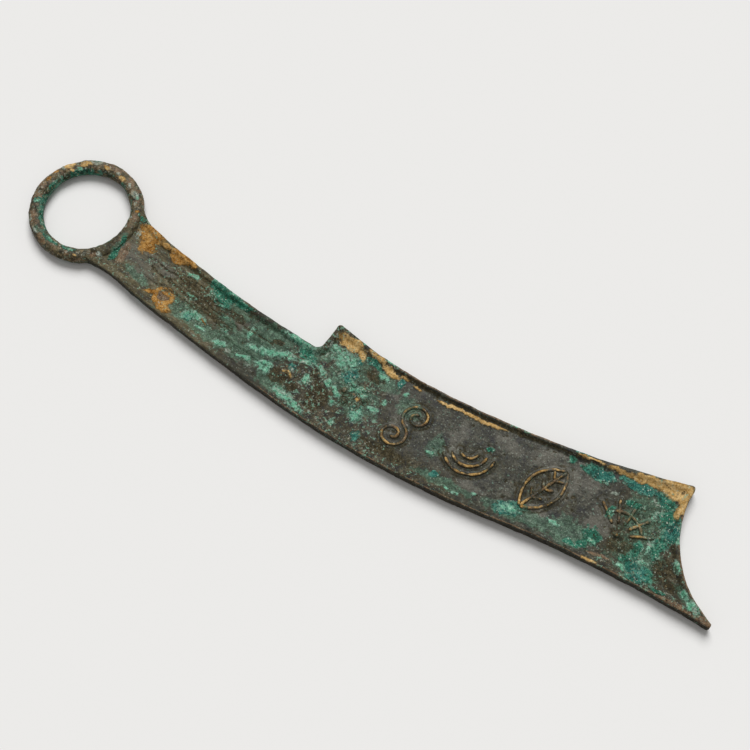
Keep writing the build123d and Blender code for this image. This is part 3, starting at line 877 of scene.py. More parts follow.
def skin(plan, side):
    """Height above the coin's middle layer, and the tints, on one face (side 1 or -1)."""
    flat = plan.reshape(-1, 2)
    level = np.full(len(flat), rim_high if side > 0 else 0.0)
    solid = np.column_stack((flat, level))
    away = distance_to(whole_outline, flat)
    tint = tints_at(solid, np.full(len(flat), float(side)))
    crust = {name: ease(0.4, 0.62, tint[name]) for name in ("green", "pale", "earth")}
    broad = rough_noise(solid, 7.0, 51)
    medium = rough_noise(solid, 1.6, 52)
    fine = rough_noise(solid, 0.5, 53)
    half = rim_high / 2
    plate = plate_high - half + 0.05 * broad
    plate += NECK_RISE * ease(ring_outer + 2.0, ring_outer - 0.4, np.hypot(*flat.T))
    crest = half - 0.10 * ease(-0.3, 0.7, broad) - 0.10 * ease(0.1, 0.8, medium)
    low_rim = ease(1.0, 0.0, distance_to(edge, flat) - away)
    narrow = ease(78, 88, flat[:, 0]) * ease(134, 122, flat[:, 0]) * (1 - low_rim)
    slope_end = SLOPE_END + low_rim * LOW_RIM_SPREAD - 0.6 * narrow
    edge_round = EDGE_ROUND * (1 - 0.5 * low_rim - 0.6 * narrow)
    inside = np.clip(edge_round - away, 0, edge_round)
    rim = crest - edge_round + np.sqrt(edge_round ** 2 - inside ** 2)
    fall = ease(CREST_END - THIN_CREST * narrow, slope_end, away * (1 + 0.14 * medium))
    height = rim * (1 - fall) + plate * fall
    channel = band(away, slope_end + 0.2, 0.4) * (1 - 0.8 * low_rim)
    height -= 0.11 * channel
    strokes = obverse_strokes if side > 0 else reverse_bars
    beside = near_strokes(flat, strokes)
    height += 0.10 * band(beside, 0, 0.7) - 0.07 * band(beside, 1.2, 0.5)
    wavy = flat + 0.4 * np.column_stack((medium, rough_noise(solid, 2.5, 54)))
    streaked = ease(0.5, 0.1, near_strokes(wavy, streaks) + 0.3 * fine) * (side > 0)
    height -= 0.13 * streaked
    pits = ease(0.42, 0.75, rough_noise(solid, 0.8, 55)) * (1 - 0.6 * crust["earth"])
    height -= 0.13 * pits
    height += 0.08 * crust["pale"] * (0.7 + 0.5 * fine)
    height += 0.06 * crust["green"] * (0.6 + 0.6 * fine)
    height += crust["earth"] * (0.05 + 0.15 * band(away, 1.9, 0.6))
    height += 0.03 * fine + 0.04 * medium
    ragged = 0.5 + 0.5 * medium
    # A dark band in the hollow beside each stroke: painted shade.
    hollow = band(beside, 1.05, 0.42) * (0.25 + 0.55 * ragged)
    # A dark band on the slope inside the back rim: painted shade.
    shade = band(away, 1.0, 0.28) * (1 - low_rim) * ease(60, 84, flat[:, 0])
    shade = shade * ease(150, 128, flat[:, 0]) * (1 - 0.5 * crust["earth"]) * (0.75 + 0.4 * ragged)
    tint["soil_and_shade"] = np.maximum.reduce(
        (tint["soil_and_shade"], hollow, shade, channel * 0.5 * ragged, streaked * 0.75, pits * 0.75)
    )
    lip = band(away, 0.2, 0.16) * low_rim * ease(50, 62, flat[:, 0] + 6 * broad)
    concave = ease(150, 156, flat[:, 0]) * (1 - low_rim) * ease(11.5, 9.5, flat[:, 1])
    thin = band(away, 0.2, 0.32) * (narrow + concave) * (0.85 + 0.4 * medium)
    tint["worn"] = np.maximum(
        np.maximum(0.85 * lip * (0.85 + 0.4 * medium), 0.85 * thin),
        0.4 * ease(0.2, 0.45, away) * ease(1.2, 0.8, away) * ease(-0.3, 0.7, medium + 0.5 * fine),
    )
    return height, tint, away

# %% [markdown]
# Each grid is used twice, for the obverse and for the reverse, and a wall of a few more rows
# closes the rim between them. The wall swells slightly towards the joint of the two moulds.
# Noise then shifts every point sideways by a few hundredths of a millimetre, which nibbles the
# edges. Each face also gets its place on one flat map, so that the finish can be exported.

# %% From grid to closed piece
WALL_ROWS = 6
WALL_SWELL = 0.09


def rim_order(rows, columns):
    """The numbers of a grid's outer points, going round to the left."""
    grid = np.arange(rows * columns).reshape(rows, columns)
    sides = (grid[0, :-1], grid[:-1, -1], grid[-1, :0:-1], grid[:0:-1, 0])
    return np.concatenate(sides)


def outward(places):
    """The direction out of the nearest stretch of the outline."""
    starts, ends = whole_outline[:-1], whole_outline[1:]
    middles = (starts + ends) / 2
    nearest = ((places[:, None] - middles) ** 2).sum(2).argmin(1)
    along = ends[nearest] - starts[nearest]
    way = np.column_stack((along[:, 1], -along[:, 0]))
    return way / np.linalg.norm(way, axis=1)[:, None]


def nibbled(points):
    """Points shifted sideways by noise, alike in every piece."""
    moved = points.copy()
    for axis in range(2):
        moved[:, axis] += 0.11 * soft_noise(points, 3.2, 61 + axis)
        moved[:, axis] += 0.05 * soft_noise(points, 0.9, 71 + axis)
    return moved


def grid_faces(numbers):
    """Four-sided faces between neighbours of a table of point numbers."""
    a, b = numbers[:-1, :-1], numbers[:-1, 1:]
    c, d = numbers[1:, 1:], numbers[1:, :-1]
    return np.stack((a, b, c, d), -1).reshape(-1, 4)


def flat_map(across, up, low, high):
    """Corners of the faces of a grid on the flat map, between two heights on it."""
    u, v = np.meshgrid(across, low + up * (high - low))
    return grid_faces(np.arange(u.size).reshape(u.shape)), np.stack((u.ravel(), v.ravel()), 1)


def mesh_from(name, points, faces, tint, corners=None):
    """A smooth mesh in metres, with its tints and, for a large one, its own flat map."""
    mesh = bpy.data.meshes.new(name)
    mesh.from_pydata(in_scene(points), [], faces)
    if corners is not None:
        layer = mesh.uv_layers.new(name="OFBake")
        layer.uv.foreach_set("vector", corners.astype(np.float32).ravel())
    for key, values in tint.items():
        attribute = mesh.attributes.new(key, "FLOAT", "POINT")
        attribute.data.foreach_set("value", np.clip(values, 0, 1).astype(np.float32))
    mesh.polygons.foreach_set("use_smooth", np.ones(len(faces), bool))
    mesh.update()
    piece = bpy.data.objects.new(name, mesh)
    bpy.context.scene.collection.objects.link(piece)
    print(name, len(points), "points", 2 * len(faces), "triangles")
    return piece


def cast_piece(name, plan, row_shares, column_shares):
    """A closed piece of the casting over one grid."""
    rows, columns = plan.shape[:2]
    size = rows * columns
    flat = plan.reshape(-1, 2)
    half = rim_high / 2
    top, top_tint, away = skin(plan, 1)
    under, under_tint, away = skin(plan, -1)
    points = [np.column_stack((flat, half + top)), np.column_stack((flat, half - under))]
    tints = [top_tint, under_tint]
    order = rim_order(rows, columns)
    levels = [order]
    out = outward(flat[order])
    visible = (away[order] < 0.02)[:, None]
    for row in range(1, WALL_ROWS):
        share = row / WALL_ROWS
        swell = WALL_SWELL * (1 - (2 * share - 1) ** 2)
        place = flat[order] + swell * out * visible
        height = (half + top[order]) * (1 - share) + (half - under[order]) * share
        ring = np.column_stack((place, height))
        tint = tints_at(ring, np.zeros(len(ring)))
        level = {}
        for key in top_tint:
            mixed = top_tint[key][order] * (1 - share) + under_tint[key][order] * share
            level[key] = 0.6 * mixed + 0.4 * tint.get(key, mixed)
        # Every wall gets some dark soil; walls facing -y, on the cutting edge's side, are darkened
        # more, and by the deep tint too: painted shade. Their rust is reddish oxide.
        below = ease(0.2, -0.2, out[:, 1])
        broken = rough_noise(ring, 1.2, 57)
        level["soil_and_shade"] = np.maximum(level["soil_and_shade"], 0.3 + 0.55 * below + 0.3 * broken)
        rusty = ease(58, 66, place[:, 0]) * ease(122, 110, place[:, 0])
        level["rust"] = below * (0.25 + 0.3 * rusty + 0.3 * broken)
        level["deep"] = below
        levels.append(size * 2 + (row - 1) * len(order) + np.arange(len(order)))
        points.append(ring)
        tints.append(level)
    levels.append(size + order)
    top_tint["rust"] = under_tint["rust"] = np.zeros(size)
    top_tint["deep"] = under_tint["deep"] = np.zeros(size)
    tint = {key: np.concatenate([part[key] for part in tints]) for key in top_tint}
    numbers = np.arange(size).reshape(rows, columns)
    wall = np.array(levels)
    wall = np.hstack((wall, wall[:, :1]))
    faces = [grid_faces(numbers), grid_faces(numbers + size)[:, ::-1], grid_faces(wall)[:, ::-1]]
    top_faces, top_map = flat_map(column_shares, row_shares, 0.0, 0.47)
    under_faces, under_map = flat_map(column_shares, row_shares, 0.48, 0.95)
    around_shares = np.linspace(0, 1, len(order) + 1)
    wall_faces, wall_map = flat_map(around_shares, np.linspace(0, 1, WALL_ROWS + 1), 0.955, 1.0)
    corners = [top_map[top_faces], under_map[under_faces[:, ::-1]], wall_map[wall_faces[:, ::-1]]]
    corners = np.concatenate([part.reshape(-1, 2) for part in corners])
    points = nibbled(np.vstack(points))
    return mesh_from(name, points, np.vstack(faces), tint, corners)


blade = cast_piece("blade", blade_plan, blade_rows, blade_columns)
grip = cast_piece("grip", grip_plan, grip_rows, grip_columns)

# %% [markdown]
# The ring is a loop of rounded bar. Its section is a squared oval, and its width and its
# height wander a little round the loop, because it was filed by hand and has corroded since.
# The same noise that nibbles the rims roughens it, so the two look like one casting.

# %% The ring
RING_STEPS = 400
SECTION_STEPS = 52
SQUARENESS = 2.5


def ring_piece():
    """The suspension ring as one closed loop."""
    turn, roll = np.meshgrid(
        np.linspace(0, 2 * math.pi, RING_STEPS, False),
        np.linspace(0, 2 * math.pi, SECTION_STEPS, False), indexing="ij",
    )
    turn, roll = turn.ravel(), roll.ravel()
    wander = np.column_stack((np.cos(turn), np.sin(turn), np.zeros(len(turn)))) * 12
    power = 2 / SQUARENESS
    across = np.sign(np.cos(roll)) * np.abs(np.cos(roll)) ** power
    up = np.sign(np.sin(roll)) * np.abs(np.sin(roll)) ** power
    half_bar = ring_bar / 2 * (1 + 0.07 * soft_noise(wander, 5.0, 81))
    half_thick = ring_thick / 2 * (0.97 + 0.05 * soft_noise(wander, 4.0, 82))
    radius = ring_outer - ring_bar / 2 - 0.05 + across * half_bar
    level = ring_thick / 2 + up * half_thick
    points = np.column_stack((np.cos(turn) * radius, np.sin(turn) * radius, level))
    way = np.column_stack((np.cos(turn) * across, np.sin(turn) * across, up))
    way /= np.linalg.norm(way, axis=1)[:, None]
    tint = tints_at(points, up, ring=True)
    fine = rough_noise(points, 0.5, 53)
    medium = rough_noise(points, 1.4, 84)
    pits = ease(0.35, 0.7, rough_noise(points, 0.9, 85))
    relief = 0.10 * medium + 0.05 * fine - 0.12 * pits + 0.05 * tint["chalk"]
    points = nibbled(points + way * relief[:, None])
    # The bar's outer side where it meets the neck gets a dark band here: painted shade in the
    # crease.
    crease = ease(38, 30, np.abs(np.degrees(turn - math.pi * 2 * (turn > math.pi)) + 8))
    crease = crease * ease(0.35, 0.8, across)
    tint["soil_and_shade"] = np.maximum.reduce((tint["soil_and_shade"], pits * 0.8, 0.45 * crease))
    tint["worn"] = 0.5 * ease(0.5, 0.9, up) * ease(-0.3, 0.6, medium)
    tint["rust"] = np.zeros(len(points))
    # The lower outer side of the bar gets the deep tint, which is painted shade.
    tint["deep"] = ease(0.2, -0.7, up) * ease(0.0, 0.6, across)
    numbers = np.arange(len(points)).reshape(RING_STEPS, SECTION_STEPS)
    closed = np.vstack((numbers, numbers[:1]))
    closed = np.hstack((closed, closed[:, :1]))
    faces = grid_faces(closed)[:, ::-1]
    shape = (np.linspace(0, 1, SECTION_STEPS + 1), np.linspace(0, 1, RING_STEPS + 1), 0.0, 1.0)
    map_faces, map_places = flat_map(*shape)
    corners = map_places[map_faces[:, ::-1]].reshape(-1, 2)
    return mesh_from("suspension_ring_worn", points, faces, tint, corners)


ring = ring_piece()

# %% [markdown]
# A stroke of the relief is a low ridge with a rounded back, laid along its path and sunk a
# little into the plate. Centuries of rubbing took more off some places than others, so its
# height and its width follow the noise, and both ends run out softly. A pellet is a small
# dome, made the same way round its middle.

# %% Raised strokes
STROKE_PROFILE = np.linspace(-1, 1, 11)
SUNK = 0.16


def skin_level(places, side):
    """The skin's height above the floor at some places."""
    height, tint, away = skin(places[:, None, :], side)
    return rim_high / 2 + side * height, tint


def even_steps(path, length):
    """A path with its points at about this distance from each other."""
    total = lengths_along(path)[-1]
    return at_lengths(path, np.linspace(0, total, max(4, round(total / length))))


def stroke_shell(path, width, height):
    """The places, heights over the plate and faces of one stroke's closed shell."""
    path = even_steps(path, 0.22)
    count = len(path)
    along = np.gradient(path, axis=0)
    along /= np.linalg.norm(along, axis=1)[:, None]
    across = np.column_stack((-along[:, 1], along[:, 0]))
    end_gap = np.minimum(lengths_along(path), lengths_along(path)[::-1])
    taper = np.sqrt(np.clip(end_gap / (width * 0.55), 0.02, 1))
    offsets = STROKE_PROFILE[None, :, None] * across[:, None] * taper[:, None, None] * width / 2
    places = path[:, None] + offsets
    dome = (1 - STROKE_PROFILE ** 2) ** 0.7
    lift = -SUNK + (height + SUNK) * dome[None] * taper[:, None] ** 0.7
    floor_places = places[:, ::-1]
    floor_lift = np.full((count, len(STROKE_PROFILE)), -SUNK - 0.15)
    places = np.concatenate((places, floor_places), 1)
    lift = np.concatenate((lift, floor_lift), 1)
    return places.reshape(-1, 2), lift.ravel(), closed_tube(count, 2 * len(STROKE_PROFILE))


def closed_tube(count, section):
    """Faces of a tube of some sections, with a cap at each end."""
    numbers = np.arange(count * section).reshape(count, section)
    ring_numbers = np.hstack((numbers, numbers[:, :1]))
    half = section // 2
    faces = [grid_faces(ring_numbers)]
    for row, way in ((numbers[0], -1), (numbers[-1], 1)):
        cap = np.stack((row[:half - 1], row[1:half], row[::-1][1:half], row[::-1][:half - 1]), -1)
        faces.append(cap[:, ::way])
    return np.vstack(faces)[:, ::-1]


def pellet_shell(middle, radius, height):
    """The places, heights and faces of one pellet's closed dome."""
    rings, spokes = 7, 22
    shares = np.linspace(0, 1, rings + 1)[1:]
    angles = np.linspace(0, 2 * math.pi, spokes, False)
    ways = np.column_stack((np.cos(angles), np.sin(angles)))
    places = [middle[None]] + [middle + ways * share * radius for share in shares]
    lift = [np.array([height])]
    lift += [np.full(spokes, -SUNK + (height + SUNK) * (1 - share ** 2) ** 0.7) for share in shares]
    places.append(places[-1])
    lift.append(np.full(spokes, -SUNK - 0.15))
    places.append(middle[None])
    lift.append(np.array([-SUNK - 0.15]))
    numbers = 1 + np.arange((rings + 1) * spokes).reshape(rings + 1, spokes)
    numbers = np.hstack((numbers, numbers[:, :1]))
    faces = [tuple(face) for face in grid_faces(numbers)[:, ::-1]]
    last = numbers[-1, -2] + 1
    faces += [(0, numbers[0, n], numbers[0, n + 1]) for n in range(spokes)]
    faces += [(last, numbers[-1, n + 1], numbers[-1, n]) for n in range(spokes)]
    return np.vstack(places), np.concatenate(lift), faces


def relief_piece(
    name, strokes, width, height, side=1, wear=0.45, gild=0.0, shade=0.7, polish=1.0
):
    """All the strokes of one motif as one piece, worn by noise."""
    places, lifts, faces, first = [], [], [], 0
    for stroke in strokes:
        if len(stroke) == 2 and np.allclose(stroke[0], stroke[1]):
            shell = pellet_shell(stroke[0], 0.85, height)
        else:
            shell = stroke_shell(stroke, width, height)
        places.append(shell[0])
        lifts.append(shell[1])
        faces += [tuple(int(n) + first for n in face) for face in shell[2]]
        first += len(shell[0])
    places, lift = np.vstack(places), np.concatenate(lifts)
    level, tint = skin_level(places, side)
    solid = np.column_stack((places, level))
    rubbed = ease(-0.55, 0.35, rough_noise(solid, 2.2, 91))
    lift = np.where(lift > 0, lift * (1 - wear * (1 - rubbed)), lift)
    lift += 0.05 * rough_noise(solid, 0.6, 92) * (lift > -0.1)
    points = nibbled(np.column_stack((places, level + side * lift)))
    crest = ease(0.1, height * 0.8, lift)
    earthy = (0.5 + 0.6 * rough_noise(solid, 1.9, 93)) * gild * 1.3
    tint["earth"] = np.maximum(tint["earth"] * 0.6, crest * earthy).clip(0, 1)
    # Below the crest, a stroke's sides are darkened up to the shade amount: painted shade.
    tint["soil_and_shade"] = np.maximum(tint["soil_and_shade"] * (1 - crest), shade * (1 - crest))
    tint["worn"] = crest * polish * (0.55 + 0.4 * rough_noise(solid, 0.8, 94))
    tint["rust"] = tint["deep"] = np.zeros(len(points))
    if side < 0:
        faces = [face[::-1] for face in faces]
    return mesh_from(name, points, faces, tint)


relief_gild = {
    "rosette_relief": 0.25, "scroll_relief": 0.75, "scales_relief": 0.95,
    "leaf_relief": 0.75, "fan_relief": 0.6,
}
reliefs = {}
for node, strokes in motifs.items():
    piece = relief_piece(node + "_worn", strokes, 1.05, 0.38, gild=relief_gild[node])
    reliefs[node] = piece
reliefs["grip_ridges_obverse"] = relief_piece(
    "grip_ridges_obverse_worn", grip_ridges, 1.5, 0.2, wear=1.1, shade=0.15, polish=0.1
)
reliefs["grip_ridges_reverse"] = relief_piece(
    "grip_ridges_reverse_worn", grip_ridges, 1.5, 0.3, side=-1, wear=0.8, shade=0.4, polish=0.6
)
reliefs["reverse_bars"] = relief_piece("reverse_bars_worn", reverse_bars, 1.3, 0.38, side=-1)

# %% [markdown]
# The finish is built from nodes. Writing a node tree line by line is long, so a few small
# helpers add a node, a sum or a blend of two colours, and pass on the socket to read from.
# Gloss adds a little light of its own to a dark surface, so each colour is written here as
# it looks, and the helper takes that little light off before the shader gets it.

# %% Helpers for node trees
GLOSS_LIGHT = 0.02


def paint(red, green, blue):
    """A colour that looks like these 0 to 255 values of a screen, in Blender's linear ones."""
    values = np.array((red, green, blue)) / 255
    linear = np.where(values <= 0.04045, values / 12.92, ((values + 0.055) / 1.055) ** 2.4)
    return (*np.maximum(linear - GLOSS_LIGHT, 0.003).tolist(), 1.0)


def add_node(tree, kind, inputs=(), **settings):
    """A new node with its settings, and values or links for its inputs."""
    node = tree.nodes.new("ShaderNode" + kind)
    for key, value in settings.items():
        setattr(node, key, value)
    for key, value in dict(inputs).items():
        if isinstance(value, bpy.types.NodeSocket):
            tree.links.new(value, node.inputs[key])
        else:
            node.inputs[key].default_value = value
    return node


def sum_of(tree, operation, first, second, third=0.0):
    """The result of a Math node."""
    return add_node(tree, "Math", {0: first, 1: second, 2: third}, operation=operation).outputs[0]


def blended(tree, factor, under, over, blend_type="MIX"):
    """One colour laid over another where the factor says."""
    inputs = {0: factor, 6: under, 7: over}
    node = add_node(tree, "Mix", inputs, data_type="RGBA", blend_type=blend_type)
    return node.outputs[2]


def between(tree, value, low, high):
    """0 below low, 1 above high, smooth between."""
    inputs = {"Value": value, "From Min": low, "From Max": high}
    node = add_node(tree, "MapRange", inputs, interpolation_type="SMOOTHSTEP")
    return node.outputs["Result"]


def new_group(name, inputs, outputs):
    """An empty node group with named sockets: the tree, what goes in, what comes out."""
    group = bpy.data.node_groups.new(name, "ShaderNodeTree")
    for label, (kind, value) in inputs.items():
        socket = group.interface.new_socket(label, in_out="INPUT", socket_type="NodeSocket" + kind)
        socket.default_value = value
    for label, kind in outputs.items():
        group.interface.new_socket(label, in_out="OUTPUT", socket_type="NodeSocket" + kind)
    entry = group.nodes.new("NodeGroupInput").outputs
    leave = group.nodes.new("NodeGroupOutput").inputs
    return group, entry, leave


def use_group(tree, group, inputs):
    """The outputs of a node that holds one of the groups."""
    node = add_node(tree, "Group", node_tree=group)
    for key, value in inputs.items():
        if isinstance(value, bpy.types.NodeSocket):
            tree.links.new(value, node.inputs[key])
        else:
            node.inputs[key].default_value = value
    return node.outputs


def millimetres(tree, stretch=(1.0, 1.0, 1.0), shift=0.0):
    """Where each point is, in millimetres, for patterns that keep their real scale."""
    place = add_node(tree, "TexCoord").outputs["Object"]
    scaled = add_node(tree, "VectorMath", {0: place, "Scale": 1000.0}, operation="SCALE")
    inputs = {0: scaled.outputs[0], 1: stretch, 2: (shift, shift, shift)}
    return add_node(tree, "VectorMath", inputs, operation="MULTIPLY_ADD").outputs[0]


def noise_at(tree, place, grain, detail=3.0, rough=0.6):
    """A noise that changes over about grain millimetres."""
    scale = sum_of(tree, "DIVIDE", 1.0, grain)
    inputs = {"Vector": place, "Scale": scale, "Detail": detail, "Roughness": rough}
    return add_node(tree, "TexNoise", inputs).outputs["Fac"]


# %% [markdown]
# Five effects serve every material. Ragged edge frays the border of a patch much finer than
# the mesh can, and also gives the border itself. Mottle wanders between three colours.
# Flecks are the small crumbs of salt and earth that lie everywhere. Grit scatters single
# light grains, which are painted glints, and dark grains. Rough skin gives the height of the
# fine bumps, in millimetres.

# %% Ragged edge
ragged_edge, entry, leave = new_group(
    "ragged_edge",
    {
        "Mask": ("Float", 0.0), "Grain": ("Float", 0.5), "Bite": ("Float", 0.8),
        "Soft": ("Float", 0.1),
    },
    {"Mask": "Float", "Border": "Float"},
)
frayed = noise_at(ragged_edge, millimetres(ragged_edge), entry["Grain"], 6.0, 0.72)
frayed = sum_of(ragged_edge, "SUBTRACT", frayed, 0.5)
frayed = sum_of(ragged_edge, "MULTIPLY_ADD", frayed, entry["Bite"], entry["Mask"])
first = sum_of(ragged_edge, "SUBTRACT", 0.5, entry["Soft"])
last = sum_of(ragged_edge, "ADD", 0.5, entry["Soft"])
ragged_edge.links.new(between(ragged_edge, frayed, first, last), leave["Mask"])
outer = sum_of(ragged_edge, "MULTIPLY_ADD", entry["Soft"], -1.4, 0.5)
rising = between(ragged_edge, frayed, outer, 0.5)
inner = sum_of(ragged_edge, "MULTIPLY_ADD", entry["Soft"], 0.6, 0.5)
deep = sum_of(ragged_edge, "MULTIPLY_ADD", entry["Soft"], 2.4, 0.5)
falling = between(ragged_edge, frayed, deep, inner)
ragged_edge.links.new(sum_of(ragged_edge, "MULTIPLY", rising, falling), leave["Border"])

# %% Mottle
mottle, entry, leave = new_group(
    "mottle",
    {
        "Dark": ("Color", (0, 0, 0, 1)), "Middle": ("Color", (0.5, 0.5, 0.5, 1)),
        "Light": ("Color", (1, 1, 1, 1)), "Grain": ("Float", 2.0),
        "Stretch": ("Vector", (1, 1, 1)),
    },
    {"Colour": "Color"},
)
place = millimetres(mottle, entry["Stretch"], 31.0)
large = noise_at(mottle, place, entry["Grain"], 6.0, 0.72)
small = noise_at(mottle, place, sum_of(mottle, "MULTIPLY", entry["Grain"], 0.23), 3.0, 0.7)
tone = sum_of(mottle, "MULTIPLY_ADD", small, 0.45, sum_of(mottle, "MULTIPLY", large, 0.55))
colour = blended(mottle, between(mottle, tone, 0.41, 0.50), entry["Dark"], entry["Middle"])
colour = blended(mottle, between(mottle, tone, 0.50, 0.60), colour, entry["Light"])
mottle.links.new(colour, leave["Colour"])

# %% Flecks
flecks, entry, leave = new_group(
    "flecks",
    {"Amount": ("Float", 0.5), "Grain": ("Float", 0.6), "Shift": ("Float", 0.0)},
    {"Mask": "Float"},
)
moved = add_node(
    flecks, "VectorMath", {0: millimetres(flecks), 1: entry["Shift"]}, operation="ADD"
).outputs[0]
lumps = noise_at(flecks, moved, entry["Grain"], 3.0, 0.6)
level = sum_of(flecks, "MULTIPLY_ADD", entry["Amount"], 0.16, -0.72)
level = sum_of(flecks, "ADD", lumps, level)
flecks.links.new(between(flecks, level, 0.0, 0.04), leave["Mask"])

# %% Grit
grit_and_glints, entry, leave = new_group(
    "grit_and_glints",
    {"Grain": ("Float", 0.4), "Share": ("Float", 0.1)},
    {"Light": "Float", "Dark": "Float"},
)
scale = sum_of(grit_and_glints, "DIVIDE", 1.0, entry["Grain"])
cells = add_node(grit_and_glints, "TexVoronoi", {"Vector": millimetres(grit_and_glints), "Scale": scale})
parts = add_node(grit_and_glints, "SeparateColor", {0: cells.outputs["Color"]}).outputs
rare = sum_of(grit_and_glints, "SUBTRACT", 1.0, entry["Share"])
for number, label in enumerate(("Light", "Dark")):
    size = sum_of(grit_and_glints, "MULTIPLY_ADD", parts[2], 0.4, 0.15)
    near = sum_of(grit_and_glints, "LESS_THAN", cells.outputs["Distance"], size)
    chosen = sum_of(grit_and_glints, "GREATER_THAN", parts[number], rare)
    grit_and_glints.links.new(sum_of(grit_and_glints, "MULTIPLY", chosen, near), leave[label])

# %% Rough skin
rough_skin, entry, leave = new_group(
    "rough_skin",
    {"Grain": ("Float", 0.6), "Crust": ("Float", 0.0)},
    {"Height": "Float"},
)
place = millimetres(rough_skin)
coarse = noise_at(rough_skin, place, entry["Grain"], 5.0, 0.65)
crumbs = noise_at(rough_skin, place, sum_of(rough_skin, "MULTIPLY", entry["Grain"], 0.4), 3.0, 0.6)
rise = sum_of(rough_skin, "MULTIPLY_ADD", entry["Crust"], 0.10, 0.05)
crumbs = sum_of(rough_skin, "MULTIPLY", crumbs, rise)
rough_skin.links.new(sum_of(rough_skin, "MULTIPLY_ADD", coarse, 0.12, crumbs), leave["Height"])
print("node groups:", [group.name for group in bpy.data.node_groups])

# %% [markdown]
# One recipe makes the finish of every piece. It starts from the metal's own grey, brown or
# khaki patina, and lays the layers over it in the order in which they formed: a thin green
# veil, rubbed metal, red copper oxide, dark green and pale malachite, yellow earth, dark soil
# with painted shade in it, and chalk. Each layer reads the tint that the mesh carries, frays
# it, and has three tones of its own. The numbers after the tones are the mottle's grain and
# the fray's grain in mm, how deep the fray bites, how much the layer covers, how rough it is,
# and how thick in mm.

# %% The layers of the patina
TONES = {
    "grey": ((34, 35, 28), (54, 54, 46), (80, 79, 69)),
    "brown": ((40, 38, 28), (60, 57, 45), (92, 86, 70)),
    "khaki": ((54, 50, 35), (81, 76, 57), (111, 103, 81)),
    "veil": ((42, 60, 48), (70, 94, 78), (106, 138, 116)),
    "dust_and_sheen": ((80, 79, 71), (96, 94, 85), (113, 111, 102)),
    "stain": ((40, 39, 27), (55, 53, 38), (74, 71, 53)),
    "tan": ((78, 60, 45), (114, 92, 71), (152, 130, 104)),
    "rust": ((28, 16, 12), (58, 33, 25), (104, 66, 50)),
    "green": ((20, 56, 45), (38, 92, 76), (80, 142, 118)),
    "teal": ((22, 58, 52), (42, 94, 86), (86, 140, 126)),
    "pale": ((66, 118, 95), (106, 170, 140), (154, 208, 180)),
    "earth": ((150, 118, 70), (190, 156, 102), (220, 190, 136)),
    "orange": ((116, 80, 42), (166, 124, 70), (198, 160, 102)),
    "soil_and_shade": ((38, 35, 26), (63, 58, 45), (98, 91, 74)),
    "chalk": ((104, 118, 106), (146, 156, 143), (190, 199, 188)),
}
LAYERS = {
    "tan": (1.0, 0.6, 0.9, 0.8, 0.5, 0.0),
    "rust": (0.9, 0.7, 0.9, 0.9, 0.75, 0.0),
    "green": (1.3, 1.3, 1.3, 0.97, 0.7, 0.08),
    "pale": (0.8, 1.0, 2.2, 0.95, 0.8, 0.10),
    "earth": (1.8, 0.8, 1.0, 0.97, 0.9, 0.06),
    "soil_and_shade": (1.0, 0.6, 1.3, 0.85, 0.9, -0.02),
    "chalk": (0.6, 0.45, 1.7, 0.85, 0.85, 0.03),
}
SOFTNESS = {"tan": 0.2, "rust": 0.15, "green": 0.14, "pale": 0.28, "earth": 0.22, "soil_and_shade": 0.16,
            "chalk": 0.12}
# Dark brown that the deep tint lays on: painted shade.
SHADE_BROWN = (30, 23, 17)
# Border colours: on green and pale crust a whitish painted highlight, on earth a darker brown rim.
BORDERS = {"green": ((118, 166, 146), 0.45), "pale": ((168, 202, 184), 0.5),
           "earth": ((104, 82, 50), 0.4)}
GAPS = {"tan": 0.42, "rust": 0.3, "green": 0.4, "pale": 0.5, "earth": 0.34, "soil_and_shade": 0.42,
        "chalk": 0.5}


def mottled(tree, name, grain, stretch=(1.0, 1.0, 1.0)):
    """A mottle of the three tones that have this name."""
    dark, middle, light = (paint(*tone) for tone in TONES[name])
    inputs = {"Dark": dark, "Middle": middle, "Light": light, "Grain": grain, "Stretch": stretch}
    return use_group(tree, mottle, inputs)["Colour"]


def attribute(tree, name):
    """A tint that the mesh carries."""
    return add_node(tree, "Attribute", attribute_name=name).outputs["Fac"]


def bare_patina(tree, grain, stretch):
    """The metal's own patina, from grey to brown to khaki, under a thin green veil."""
    colour = mottled(tree, "grey", grain, stretch)
    colour = blended(tree, attribute(tree, "brown"), colour, mottled(tree, "brown", grain * 0.7))
    khaki = mottled(tree, "khaki", grain * 0.8, stretch)
    colour = blended(tree, attribute(tree, "khaki"), colour, khaki)
    veil = use_group(
        tree, ragged_edge,
        {"Mask": attribute(tree, "veil"), "Grain": 1.7, "Bite": 2.2, "Soft": 0.22},
    )["Mask"]
    veil = sum_of(tree, "MULTIPLY", veil, 0.7)
    # This cloud of pale dust also paints a sheen: on the blade's middle it lightens the field as
    # painted sheen.
    for name, size, shift, cover in (("stain", 6.0, 43.0, 0.6), ("dust_and_sheen", 2.6, 57.0, 0.75)):
        cloud = noise_at(tree, millimetres(tree, (0.6, 1.0, 1.0), shift), size, 6.0, 0.72)
        cloud = sum_of(tree, "MULTIPLY_ADD", attribute(tree, name), 0.26, cloud)
        cloud = sum_of(tree, "MULTIPLY", between(tree, cloud, 0.54, 0.78), cover)
        colour = blended(tree, cloud, colour, mottled(tree, name, grain * 0.5))
    return blended(tree, veil, colour, mottled(tree, "veil", grain * 0.5))


